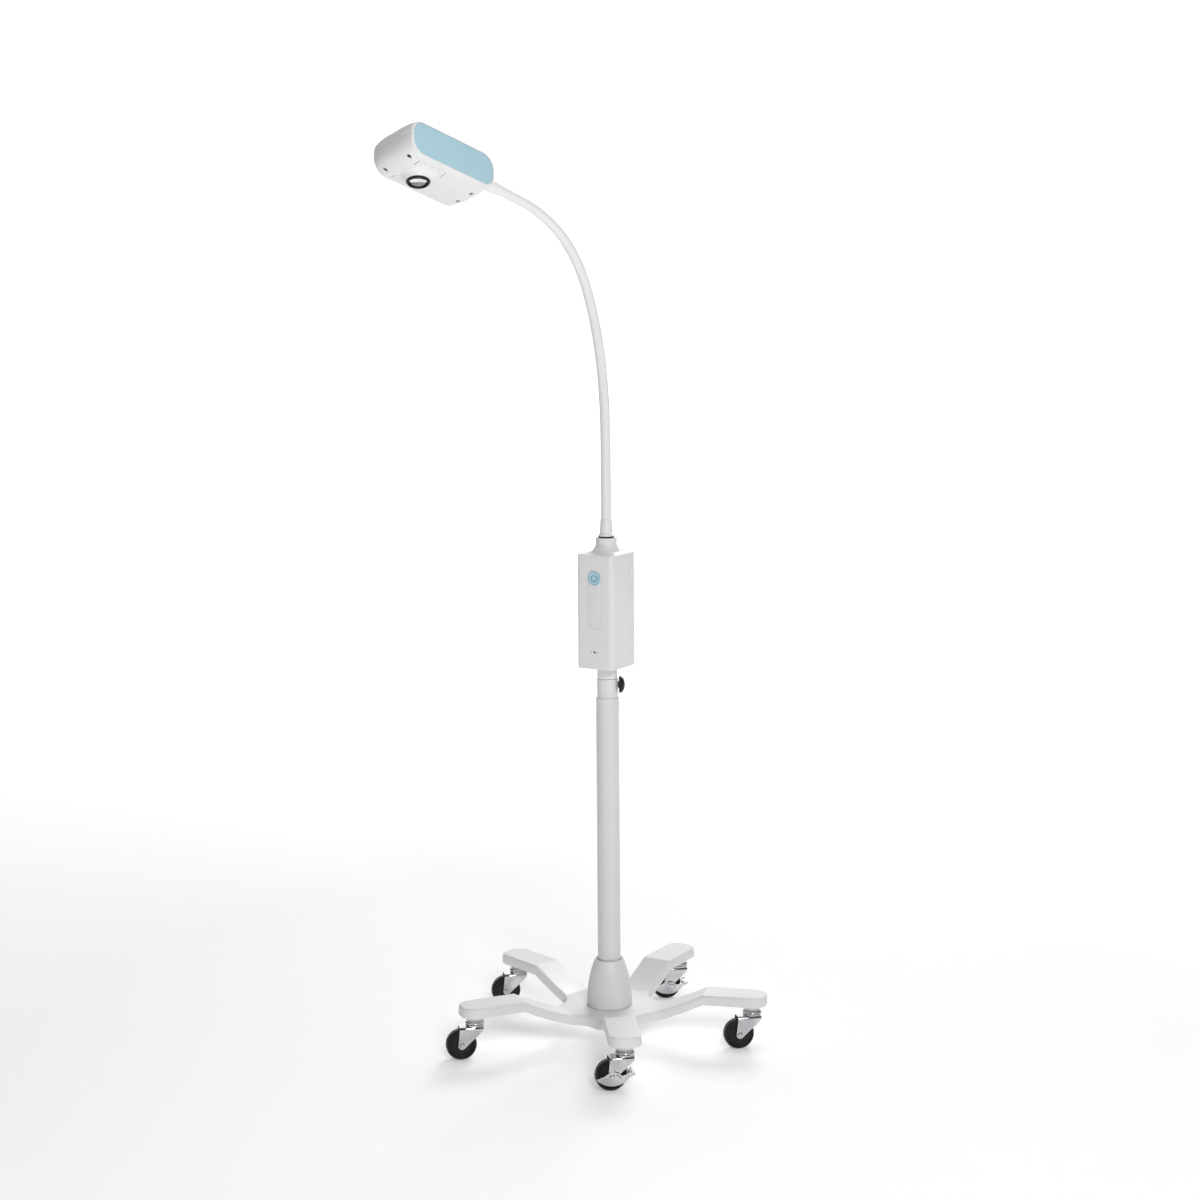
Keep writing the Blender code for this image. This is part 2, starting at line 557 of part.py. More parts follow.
def build_unit(white, light_grey, blue, black, green, steel):
    """Power unit: two housing halves and what they carry."""
    reach = 0.2
    halves = {}
    for name, low, high in (("unit_front", -reach, SEAM - GAP / 2.0), ("unit_rear", SEAM + GAP / 2.0, reach)):
        body = unit_body(name, 0.0, white)
        cavity = unit_body(f"{name}_cavity_tool", UNIT_WALL, None)
        keep = add_mesh(f"{name}_half_tool",
                        *prism(((-reach, low), (reach, low), (reach, high), (-reach, high)), 0.5, 0.95), None,
                        smooth=False)
        boolean(body, cavity, "DIFFERENCE")
        boolean(body, keep, "INTERSECT")
        halves[name] = body

    half_strip = STRIP_WIDTH / 2.0
    strip_middle = (STRIP_LOW + STRIP_HIGH) / 2.0
    half_tall = STRIP_HIGH - strip_middle
    facing = Matrix.Translation((0.0, 0.0, strip_middle)) @ Matrix.Rotation(math.radians(90.0), 4, "X")
    deep = -UNIT_FRONT - STRIP_DEPTH
    pocket = add_mesh("strip_pocket_tool", *placed(prism(stadium(half_strip, half_tall), deep, deep + 0.01), facing), None)
    boolean(halves["unit_front"], pocket, "DIFFERENCE")
    plate = add_mesh("sensor_strip",
                     *placed(prism(stadium(half_strip - GAP, half_tall - GAP), deep + GAP, -UNIT_FRONT - 0.0004),
                             facing), light_grey)
    icon_turn = Matrix.Translation((0.0, 0.0, ICON_HEIGHT)) @ Matrix.Rotation(math.radians(90.0), 4, "X")
    icon_hole = add_mesh("icon_hole_tool", *placed(disc(ICON_RADIUS + GAP, deep - 0.001, deep + 0.01, 24),
                                                   icon_turn), None)
    boolean(plate, icon_hole, "DIFFERENCE")
    add_mesh("power_icon", *placed(disc(ICON_RADIUS, deep + GAP, -UNIT_FRONT + 0.0002, 24), icon_turn), blue)

    window_turn = Matrix.Translation((0.0, 0.0, WINDOW_HEIGHT)) @ Matrix.Rotation(math.radians(90.0), 4, "X")
    window_hole = add_mesh("window_hole_tool",
                           *placed(disc(WINDOW_RADIUS + GAP, -UNIT_FRONT - 0.0085, -UNIT_FRONT + 0.0065, 12),
                                   window_turn), None)
    boolean(halves["unit_front"], window_hole, "DIFFERENCE")
    add_mesh("sensor_window", *placed(disc(WINDOW_RADIUS, -UNIT_FRONT - 0.0045, -UNIT_FRONT + 0.0002, 12),
                                     window_turn), black)

    build_inlet(halves["unit_rear"], black)
    pin = [(0.0, PIN_BOTTOM), (PIN_RADIUS - 0.0008, PIN_BOTTOM), (PIN_RADIUS, PIN_BOTTOM + 0.0008),
           (PIN_RADIUS, 0.6197), (0.0132, 0.6197), (0.0132, 0.6225), (0.0, 0.6225)]
    pin_hole = add_mesh("pin_hole_tool", *disc(PIN_RADIUS + GAP, 0.610, 0.6208, 24), None)
    boolean(halves["unit_front"], pin_hole, "DIFFERENCE")
    add_mesh("mount_pin", *lathe(pin, 24), steel)
    neck_hole = add_mesh("neck_hole_tool", *disc(0.0068, NECK_COLLAR_TOP - 0.007, NECK_COLLAR_TOP + 0.007, 16), None)
    boolean(halves["unit_front"], neck_hole, "DIFFERENCE")
    add_mesh("neck_o_ring", *lathe([(0.0095, NECK_COLLAR_TOP + GAP), (0.0130, NECK_COLLAR_TOP + GAP),
                                    (0.0135, (NECK_COLLAR_TOP + FERRULE_BOTTOM) / 2.0),
                                    (0.0130, FERRULE_BOTTOM - GAP), (0.0095, FERRULE_BOTTOM - GAP)], 24), black)
    build_board(green)


def placed(shape, matrix):
    """A shape's vertices moved by a matrix, with its faces."""
    vertices, faces = shape
    return rotated(vertices, matrix), faces


def build_inlet(rear, finish):
    """Appliance inlet low on the rear cover: a flange and a well for the plug."""
    half_x, half_z = INLET_WIDTH / 2.0, INLET_HEIGHT / 2.0
    back = UNIT_BACK
    facing = Matrix.Translation((0.0, 0.0, INLET_CENTRE)) @ Matrix.Rotation(math.radians(-90.0), 4, "X")

    def block(name, grow, near, far, colour=None):
        outline = rounded_outline(-half_x - grow, half_x + grow, -half_z - grow, half_z + grow, (0.002,) * 4, 2)
        return add_mesh(name, *placed(prism(outline, near, far), facing), colour, smooth=False)

    opening = block("inlet_opening_tool", GAP, back - 0.012, back + 0.01)
    boolean(rear, opening, "DIFFERENCE")
    inlet = block("power_inlet", 0.0, back - 0.0168, back + 0.0004, finish)
    well = block("inlet_well_tool", -0.0022, back - 0.0150, back + 0.01)
    boolean(inlet, well, "DIFFERENCE")


def build_board(finish):
    """Driver board with a transformer block and three capacitors on it."""
    board_front, board_back = -0.0140, -0.0124
    outline = rounded_outline(-0.024, 0.024, 0.668, 0.806, (0.002,) * 4, 1)
    board = add_mesh("driver_board", *placed(prism(outline, board_front, board_back), UPRIGHT), finish, smooth=False)
    block_outline = rounded_outline(-0.012, 0.014, 0.695, 0.725, (0.001,) * 4, 1)
    block = add_mesh("transformer_tool", *placed(prism(block_outline, board_back - 0.0005, 0.0050), UPRIGHT), None)
    boolean(board, block, "UNION")
    for number, (x, z) in enumerate(((-0.012, 0.748), (0.002, 0.748), (0.015, 0.750))):
        can = add_mesh(f"capacitor_tool_{number}", *along_y(0.0050, 0.0070, x, z, 10), None)
        can.location = (0.0, board_back + 0.0062, 0.0)
        boolean(board, can, "UNION")


# ----------------------------------------------------------------- gooseneck
def neck_point(distance):
    """Position and bend angle of the gooseneck's centre line at an arc length.

    The bend angle from the vertical runs linearly between stations and stays
    the same inside the gland; the line is its integral in one upright plane.
    """
    steps = max(int(distance / 0.001), 1)
    marks = np.linspace(0.0, distance, steps + 1)
    stations = np.arange(len(NECK_BENDS)) * NECK_STATION
    bends = np.radians(np.interp(np.minimum(marks, NECK_STRAIGHT), stations, NECK_BENDS))
    middle = (bends[:-1] + bends[1:]) / 2.0
    stride = distance / steps
    out, up = stride * np.sin(middle).sum(), stride * np.cos(middle).sum()
    place = Vector((out * math.cos(NECK_AZIMUTH), out * math.sin(NECK_AZIMUTH), NECK_BASE + up))
    return place, float(bends[-1])


def neck_frame(distance):
    """Matrix whose Z runs along the neck and whose X lies in the bend plane."""
    place, bend = neck_point(distance)
    out = Vector((math.cos(NECK_AZIMUTH), math.sin(NECK_AZIMUTH), 0.0))
    along = out * math.sin(bend) + Vector((0.0, 0.0, math.cos(bend)))
    inward = out * math.cos(bend) - Vector((0.0, 0.0, math.sin(bend)))
    side = along.cross(inward)
    frame = Matrix((inward, side, along)).transposed().to_4x4()
    frame.translation = place
    return frame


def neck_length(start, end, dome_start, dome_end):
    """Skin of one neck length, with a dome at each end that faces a pivot."""
    marks = []
    if dome_start:
        marks += [(start - NECK_RADIUS * math.sin(t), NECK_RADIUS * math.cos(t))
                  for t in (math.radians(70), math.radians(35))]
    marks += [(s, NECK_RADIUS) for s in np.linspace(start, end, 3)]
    if dome_end:
        marks += [(end + NECK_RADIUS * math.sin(t), NECK_RADIUS * math.cos(t))
                  for t in (math.radians(35), math.radians(70))]
    rings = []
    for distance, radius in marks:
        frame = neck_frame(distance)
        turns = np.arange(NECK_SIDES) * 2.0 * math.pi / NECK_SIDES
        rings.append([frame @ Vector((radius * math.cos(t), radius * math.sin(t), 0.0)) for t in turns])
    return loft(rings)


def build_neck(finish):
    """Ferrule and the neck lengths between the bending points."""
    ferrule = [(0.0075, FERRULE_BOTTOM), (0.0130, FERRULE_BOTTOM), (0.0130, FERRULE_BOTTOM + 0.0028),
               (0.0107, FERRULE_BOTTOM + 0.0036), (0.0088, FERRULE_TOP - 0.0010),
               (NECK_RADIUS + GAP, FERRULE_TOP), (NECK_RADIUS + GAP, 0.8640), (0.0075, 0.8640)]
    add_mesh("neck_ferrule", *lathe(ferrule, 20), finish)
    pivots = [FIRST_PIVOT + PIVOT_STEP * k for k in range(PIVOT_COUNT)]
    for number in range(PIVOT_COUNT + 1):
        first, last = number == 0, number == PIVOT_COUNT
        start = -0.0155 if first else pivots[number - 1] + DOME_OFFSET
        end = NECK_TIP if last else pivots[number] - DOME_OFFSET
        piece = add_mesh(f"neck_{number:02d}", *neck_length(start, end, not first, not last), finish)
        if not first:
            set_origin(piece, neck_point(pivots[number - 1])[0])


# ---------------------------------------------------------------------- head
def shell_ring(x, inset, low, high):
    """Section of the head at a distance x from its centre, in the side-to-top plane.

    The side view is a rounded rectangle round the panel; the section bulges
    between the flat sides by a share of the belly.
    """
    half_length = PANEL_LENGTH / 2.0 + HEAD_BORDER - inset
    half_height = PANEL_HEIGHT / 2.0 + HEAD_BORDER * 0.75 - inset
    corner = PANEL_CORNER + HEAD_BORDER - inset
    over = max(abs(x) - (half_length - corner), 0.0)
    cut = corner - math.sqrt(max(corner ** 2 - over ** 2, 0.0))
    half_height = half_height - cut
    half_width = HEAD_HALF_WIDTH - inset
    points = []
    for share in (-1.0, -0.92, -0.55, 0.0, 0.55, 0.92, 1.0):
        swell = BELLY * (1.0 - abs(share) ** 2.2)
        edge = 0.004 * max(abs(share) - 0.92, 0.0) / 0.08
        points.append((share * half_width, min(max(-half_height - swell + edge, low), high)))
    for share in (1.0, 0.92, 0.55, 0.0, -0.55, -0.92, -1.0):
        swell = BELLY * (1.0 - abs(share) ** 2.2)
        edge = 0.004 * max(abs(share) - 0.92, 0.0) / 0.08
        points.append((share * half_width, min(max(half_height + swell * 0.6 - edge, low), high)))
    return [(x, y, z) for y, z in points]


def head_body(name, inset, finish):
    """The whole head as one solid, before it is parted into shells."""
    half_length = PANEL_LENGTH / 2.0 + HEAD_BORDER - inset
    corner = PANEL_CORNER + HEAD_BORDER - inset
    bends = [half_length - corner * (1.0 - math.sin(math.radians(t))) for t in (0, 35, 65, 86)]
    stations = [-x for x in reversed(bends)] + [-0.025, 0.025] + bends
    rings = [shell_ring(x, inset, -1.0, 1.0) for x in stations]
    return add_mesh(name, *loft(rings), finish, triangles=True)


def panel_outline(grow):
    """Outline of a blue side panel, in the side view."""
    half_x, half_z = PANEL_LENGTH / 2.0 + grow, PANEL_HEIGHT / 2.0 + grow
    return rounded_outline(-half_x, half_x, -half_z, half_z, (PANEL_CORNER + grow,) * 4, 4)


def build_head(white, blue, black, glass, chrome, green, metal):
    """Head: two shells, two side panels and the optics, hung on the neck's end."""
    frame = neck_frame(HEAD_END)
    forward = frame.to_3x3().col[2]
    top = -frame.to_3x3().col[0]
    side = top.cross(forward)
    axes = Matrix((forward, side, top)).transposed().to_4x4()
    axes = axes @ Matrix.Rotation(HEAD_ROLL, 4, "X")
    axes.translation = frame.translation
    hanger = empty_at("head_hanger", axes)
    bpy.context.view_layer.update()

    def hang(item):
        """Move a head piece to the head's centre and hang it on the neck's end."""
        item.data.transform(Matrix.Translation(HEAD_CENTRE))
        item.parent = hanger
        return item

    reach = 0.2
    shells = {}
    for name, low, high in (("head_lower", -reach, PARTING - GAP / 2.0), ("head_upper", PARTING + GAP / 2.0, reach)):
        body = hang(head_body(name, 0.0, white))
        cavity = hang(head_body(f"{name}_cavity_tool", SHELL_WALL, None))
        square = ((-reach, -reach), (reach, -reach), (reach, reach), (-reach, reach))
        keep = hang(add_mesh(f"{name}_half_tool", *prism(square, low, high), None, smooth=False))
        if name == "head_lower":
            boss = [(0.0, -0.030), (BOSS_BASE_RADIUS, -0.030), (BOSS_BASE_RADIUS - 0.001, -0.0335),
                    (BOSS_TIP_RADIUS + 0.001, -0.0400), (BOSS_TIP_RADIUS, BOSS_TIP), (0.0, BOSS_TIP)]
            tool = add_mesh("lens_boss_tool", *lathe(boss, 24), None)
            tool.data.transform(Matrix.Translation((LENS_X, 0.0, 0.0)))
            boolean(body, hang(tool), "UNION")
        boolean(body, cavity, "DIFFERENCE")
        boolean(body, keep, "INTERSECT")
        for hand in (-1, 1):
            near = HEAD_HALF_WIDTH - PANEL_GAUGE - GAP
            pocket = add_mesh(f"{name}_pocket_tool_{hand + 1}",
                              *placed(prism(panel_outline(GAP), hand * near, hand * 0.06), UPRIGHT), None)
            boolean(body, hang(pocket), "DIFFERENCE")
        shells[name] = body
    well = add_mesh("lens_well_tool", *disc(BEZEL_RADIUS + GAP, -0.060, -0.020, 24), None)
    well.data.transform(Matrix.Translation((LENS_X, 0.0, 0.0)))
    boolean(shells["head_lower"], hang(well), "DIFFERENCE")
    entry = add_mesh("neck_entry_tool", *disc(0.0085, -0.030, 0.020, 20), None)
    entry.data.transform(Matrix.Translation(-HEAD_CENTRE) @ Matrix.Rotation(math.radians(90.0), 4, "Y"))
    for body in shells.values():
        boolean(body, entry, "DIFFERENCE")
    hang(entry)

    for hand, name in ((1, "side_panel_near"), (-1, "side_panel_far")):
        near, far = HEAD_HALF_WIDTH - PANEL_GAUGE, HEAD_HALF_WIDTH
        hang(add_mesh(name, *placed(prism(panel_outline(0.0), hand * near, hand * far), UPRIGHT), blue))

    def turned(name, profile, sides, finish):
        """A piece of the optics, turned about the lens axis."""
        item = add_mesh(name, *lathe(profile, sides), finish)
        item.data.transform(Matrix.Translation((LENS_X, 0.0, 0.0)))
        return hang(item)

    turned("lens_bezel", [(BEZEL_BORE, -0.0445), (0.0150, -0.0455), (0.0172, -0.0440), (BEZEL_RADIUS, -0.0420),
                          (BEZEL_RADIUS, -0.0300), (BEZEL_BORE, -0.0300)], 24, black)
    turned("lens", [(0.0, -0.0462), (0.0060, -0.0452), (0.0105, -0.0430), (0.0134, -0.0402), (0.0137, -0.0375),
                    (0.0, -0.0375)], 20, glass)
    turned("reflector", [(0.0040, -0.0140), (0.0110, -0.0210), (0.0136, -0.0370), (0.0124, -0.0370),
                         (0.0100, -0.0220), (0.0032, -0.0154)], 20, chrome)
    board = rounded_outline(LENS_X - 0.018, LENS_X + 0.018, -0.018, 0.018, (0.003,) * 4, 1)
    hang(add_mesh("led_board", *prism(board, -0.0130, -0.0114), green, smooth=False))
    sink = add_mesh("heat_sink", *prism(rounded_outline(LENS_X - 0.024, LENS_X + 0.024, -0.026, 0.026,
                                                        (0.002,) * 4, 1), -0.0110, -0.0070), metal, smooth=False)
    for number in range(5):
        x = LENS_X - 0.020 + 0.010 * number
        fin = add_mesh(f"fin_tool_{number}",
                       *prism(((x - 0.001, -0.025), (x + 0.001, -0.025), (x + 0.001, 0.025), (x - 0.001, 0.025)),
                              -0.0075, 0.0060), None, smooth=False)
        boolean(sink, hang(fin), "UNION")
    hang(sink)

    gland = [(NECK_RADIUS + GAP, 0.0), (0.0088, -0.0003), (0.0100, 0.0140), (0.0112, 0.0300), (0.0116, 0.0440),
             (0.0080, 0.0440), (0.0080, 0.0560), (0.0052, 0.0560), (0.0052, 0.0086), (NECK_RADIUS + GAP, 0.0084)]
    item = add_mesh("neck_gland", *lathe(gland, 18), white)
    item.data.transform(Matrix.Translation((NECK_STRAIGHT - HEAD_END, 0.0, 0.0))
                        @ Matrix.Rotation(math.radians(90.0), 4, "Y"))
    item.parent = hanger


# ---------------------------------------------------------------------- main
def main():
    """Build every piece."""
    clear_scene()
    white = material("white_plastic", (0.86, 0.86, 0.85), 0.35)
    coat = material("white_powder_coat", (0.84, 0.84, 0.83), 0.42)
    chrome = material("chrome_steel", (0.78, 0.78, 0.79), 0.18, 1.0)
    rubber = material("black_wheel", (0.02, 0.02, 0.02), 0.55)
    black = material("black_plastic", (0.02, 0.02, 0.02), 0.40)
    blue = material("blue_panel", (0.45, 0.66, 0.75), 0.40)
    grey = material("strip_grey", (0.80, 0.81, 0.82), 0.30)
    green = material("board_green", (0.05, 0.25, 0.12), 0.50)
    metal = material("bare_aluminium", (0.70, 0.70, 0.71), 0.35, 1.0)
    steel = material("zinc_steel", (0.60, 0.60, 0.60), 0.35, 1.0)
    glass = material("clear_lens", (0.90, 0.93, 0.95), 0.05, 0.0, 0.35)
    sheath = material("neck_sheath", (0.85, 0.85, 0.84), 0.45)

    build_star(coat)
    build_pole(coat, steel, white)
    for number in range(1, LEG_COUNT + 1):
        build_stem(number, chrome)
        build_fork(number, chrome)
        build_axle(number, chrome)
        build_wheel(number, rubber)
    for number in BRAKED:
        build_brake(number, chrome)
    build_knob(black)
    build_unit(white, grey, blue, black, green, steel)
    build_neck(sheath)
    build_head(white, blue, black, glass, chrome, green, metal)


main()
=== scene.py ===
"""Mobile examination light: the looks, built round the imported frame.

Shapes are surfaces worked out with numpy on a grid of two parameters, in metres
and in the frame's own axes: the origin is on the floor under the pole and +Z is
up.  Each sub-assembly is a class that holds its sizes and builds its pieces.
"""
import json
import logging
import math
from dataclasses import dataclass
from enum import Enum
from typing import ClassVar

import bmesh
import bpy
import numpy as np
from mathutils import Matrix, Vector


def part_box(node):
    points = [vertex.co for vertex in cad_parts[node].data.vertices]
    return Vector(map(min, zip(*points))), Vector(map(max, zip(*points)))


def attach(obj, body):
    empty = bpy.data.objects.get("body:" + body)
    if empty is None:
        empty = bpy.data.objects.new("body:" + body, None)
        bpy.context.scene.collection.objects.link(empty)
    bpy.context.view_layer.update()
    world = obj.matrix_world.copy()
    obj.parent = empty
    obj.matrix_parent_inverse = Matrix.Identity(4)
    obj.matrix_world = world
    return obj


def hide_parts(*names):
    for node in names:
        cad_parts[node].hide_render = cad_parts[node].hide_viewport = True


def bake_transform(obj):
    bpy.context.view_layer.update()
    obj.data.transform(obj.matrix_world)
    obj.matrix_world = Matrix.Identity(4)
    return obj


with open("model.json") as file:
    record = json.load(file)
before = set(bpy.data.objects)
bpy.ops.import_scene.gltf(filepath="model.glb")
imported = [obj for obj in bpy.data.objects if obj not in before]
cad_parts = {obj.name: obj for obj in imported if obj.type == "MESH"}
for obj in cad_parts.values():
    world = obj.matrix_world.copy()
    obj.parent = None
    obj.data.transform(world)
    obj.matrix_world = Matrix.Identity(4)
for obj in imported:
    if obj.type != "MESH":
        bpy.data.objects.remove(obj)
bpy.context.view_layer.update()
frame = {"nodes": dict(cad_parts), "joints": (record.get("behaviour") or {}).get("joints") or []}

LOG = logging.getLogger("examination_light")
JOINTS = {joint["name"]: joint for joint in frame["joints"]}
MERGE = 2e-6                    # points closer than this are one point
GAP = 0.0003                    # clearance between neighbouring pieces
SHELL_SHARP = 28.0              # edges of a shell over this many degrees stay crisp
QUARTER = math.pi / 2.0
FACE_FRONT = Matrix.Rotation(QUARTER, 4, "X")
FACE_BACK = Matrix.Rotation(-QUARTER, 4, "X")
Tree = bpy.types.NodeTree
Socket = bpy.types.NodeSocket


# ------------------------------------------------------------------ surfaces
@dataclass(frozen=True)
class Skin:
    """A surface as arrays.

    Attributes:
        points: (n, 3) places in metres.
        faces: (m, 4) point numbers; a corner may be repeated at a pole.
    """

    points: np.ndarray
    faces: np.ndarray

    def __add__(self, other: "Skin") -> "Skin":
        """Put two surfaces into one."""
        return Skin(np.vstack((self.points, other.points)),
                    np.vstack((self.faces, other.faces + len(self.points))))

    def moved(self, matrix: Matrix) -> "Skin":
        """The same surface, carried by a matrix."""
        turn = np.array(matrix)
        return Skin(self.points @ turn[:3, :3].T + turn[:3, 3], self.faces)


def grid(points: np.ndarray, wrap_rows: bool = False, wrap_columns: bool = False) -> Skin:
    """Quads between neighbours of a (rows, columns, 3) grid of points.

    Args:
        points: the grid.
        wrap_rows: join the last row to the first.
        wrap_columns: join the last column to the first.

    Returns:
        The surface over the grid.
    """
    rows, columns = points.shape[:2]
    row = np.arange(rows if wrap_rows else rows - 1)[:, None]
    column = np.arange(columns if wrap_columns else columns - 1)[None, :]
    below, right = (row + 1) % rows, (column + 1) % columns
    corners = np.broadcast_arrays(row * columns + column, below * columns + column,
                                  below * columns + right, row * columns + right)
    return Skin(points.reshape(-1, 3), np.stack(corners, -1).reshape(-1, 4))


def capped(rings: np.ndarray) -> Skin:
    """Closed rings skinned in order, each end drawn in to its ring's middle."""
    first, last = (np.broadcast_to(rings[k].mean(0), rings[0].shape)[None] for k in (0, -1))
    return grid(np.concatenate((first, rings, last)), wrap_columns=True)


def turned(profile: np.ndarray, sides: int = 96) -> Skin:
    """A (radius, height) profile carried round Z: x = r cos t, y = r sin t, z = h.

    Args:
        profile: points; one that starts on the axis makes a solid, any other a ring.
        sides: steps round the circle.

    Returns:
        The closed surface of revolution.
    """
    line = np.asarray(profile, float)
    turn = np.linspace(0.0, 2.0 * math.pi, sides, endpoint=False)
    radius, height = line[:, :1], np.repeat(line[:, 1:], sides, 1)
    points = np.stack((radius * np.cos(turn), radius * np.sin(turn), height), -1)
    return grid(points, wrap_rows=line[0, 0] > 0.0, wrap_columns=True)


def eased(corners: list, radius: float | list = 0.0005, closed: bool = False, steps: int = 5) -> np.ndarray:
    """Round the corners of a line of (a, b) points.

    Each corner becomes the curve (1-s)^2 A + 2 s (1-s) P + s^2 B between the
    points A and B where an arc of the radius would touch its two edges.

    Args:
        corners: the line's points.
        radius: one radius, or one for each corner.
        closed: the last point joins the first.
        steps: pieces in each rounded corner.

    Returns:
        The rounded line.
    """
    points = np.asarray(corners, float)
    count = len(points)
    radii = np.broadcast_to(np.asarray(radius, float), (count,))
    share = np.linspace(0.0, 1.0, steps + 1)[:, None]
    made = []
    for k in range(count):
        here = points[k]
        if radii[k] <= 0.0 or (not closed and k in (0, count - 1)):
            made.append(here[None])
            continue
        back, ahead = points[k - 1] - here, points[(k + 1) % count] - here
        back_length, ahead_length = np.linalg.norm(back), np.linalg.norm(ahead)
        cosine = np.clip(back @ ahead / (back_length * ahead_length), -0.999, 0.999)
        touch = radii[k] * math.tan((math.pi - math.acos(cosine)) / 2.0)
        touch = min(touch, 0.48 * back_length, 0.48 * ahead_length)
        start, end = here + back / back_length * touch, here + ahead / ahead_length * touch
        made.append((1.0 - share) ** 2 * start + 2.0 * share * (1.0 - share) * here + share ** 2 * end)
    return np.vstack(made)


def rounded_rectangle(left: float, right: float, low: float, high: float, radius: float | list) -> np.ndarray:
    """Anticlockwise outline of a rectangle with rounded corners, from its lower right."""
    return eased([(right, low), (right, high), (left, high), (left, low)], radius, closed=True, steps=8)


def stadium(half_width: float, half_height: float, steps: int = 24) -> np.ndarray:
    """Anticlockwise upright outline with half-round ends."""
    turn = np.linspace(0.0, math.pi, steps + 1)
    arc = np.stack((half_width * np.cos(turn), half_height - half_width + half_width * np.sin(turn)), -1)
    return np.vstack((arc, -arc))


def circle(radius: float, sides: int = 64) -> np.ndarray:
    """Anticlockwise circle about the origin."""
    turn = np.linspace(0.0, 2.0 * math.pi, sides, endpoint=False)
    return radius * np.stack((np.cos(turn), np.sin(turn)), -1)


def inset(outline: np.ndarray, distance: float) -> np.ndarray:
    """An anticlockwise outline moved inwards along the mean of its edges' normals."""
    ahead = np.roll(outline, -1, 0) - outline
    ahead = ahead / np.maximum(np.linalg.norm(ahead, axis=1, keepdims=True), 1e-12)
    tangent = ahead + np.roll(ahead, 1, 0)
    tangent = tangent / np.maximum(np.linalg.norm(tangent, axis=1, keepdims=True), 1e-12)
    return outline - distance * np.stack((tangent[:, 1], -tangent[:, 0]), -1)


def slab(outline: np.ndarray, low: float, high: float, edge: float = 0.0004, steps: int = 3) -> Skin:
    """An outline raised from one height to another, with quarter-round edges.

    Args:
        outline: anticlockwise (a, b) points.
        low: lower face.
        high: upper face.
        edge: radius of both edges.
        steps: pieces in each edge.

    Returns:
        The closed surface, standing along Z.
    """
    turn = np.linspace(0.0, QUARTER, steps + 1)
    draw, lift = edge * (1.0 - np.sin(turn)), edge * (1.0 - np.cos(turn))
    layers = list(zip(draw, low + lift)) + list(zip(draw[::-1], (high - lift)[::-1]))
    rings = [np.column_stack((inset(outline, d), np.full(len(outline), z))) for d, z in layers]
    return capped(np.array(rings))


def rod(path: np.ndarray, radius: float, sides: int = 12) -> Skin:
    """A round bar along a path that lies in one flat plane (z constant)."""
    tangent = np.gradient(path, axis=0)
    tangent = tangent / np.linalg.norm(tangent, axis=1, keepdims=True)
    across = np.stack((-tangent[:, 1], tangent[:, 0], np.zeros(len(path))), -1)
    turn = np.linspace(0.0, 2.0 * math.pi, sides, endpoint=False)[None, :, None]
    ring = np.cos(turn) * across[:, None] + np.sin(turn) * np.array((0.0, 0.0, 1.0))
    return capped(path[:, None] + radius * ring)


def bent_rod(path: np.ndarray, radius: np.ndarray, side: Vector, sides: int = 40) -> np.ndarray:
    """Rings round a path in an upright plane whose normal is side: the ring's
    second axis is side x tangent."""
    tangent = np.gradient(path, axis=0)
    tangent = tangent / np.linalg.norm(tangent, axis=1, keepdims=True)
    first = np.broadcast_to(np.array(side), path.shape)
    second = np.cross(tangent, first)
    turn = np.linspace(0.0, 2.0 * math.pi, sides, endpoint=False)[None, :, None]
    ring = np.cos(turn) * first[:, None] + np.sin(turn) * second[:, None]
    return path[:, None] + radius[:, None, None] * ring


# ------------------------------------------------------------------- finishes
class Grain(Enum):
    """Surface texture of a finish: grains per metre and their depth in metres."""

    POLISHED = (900.0, 0.000002)
    SPARKED = (2600.0, 0.000012)
    ORANGE_PEEL = (620.0, 0.000030)
    SLEEVE = (1500.0, 0.000016)
    CAST_RUBBER = (1900.0, 0.000020)


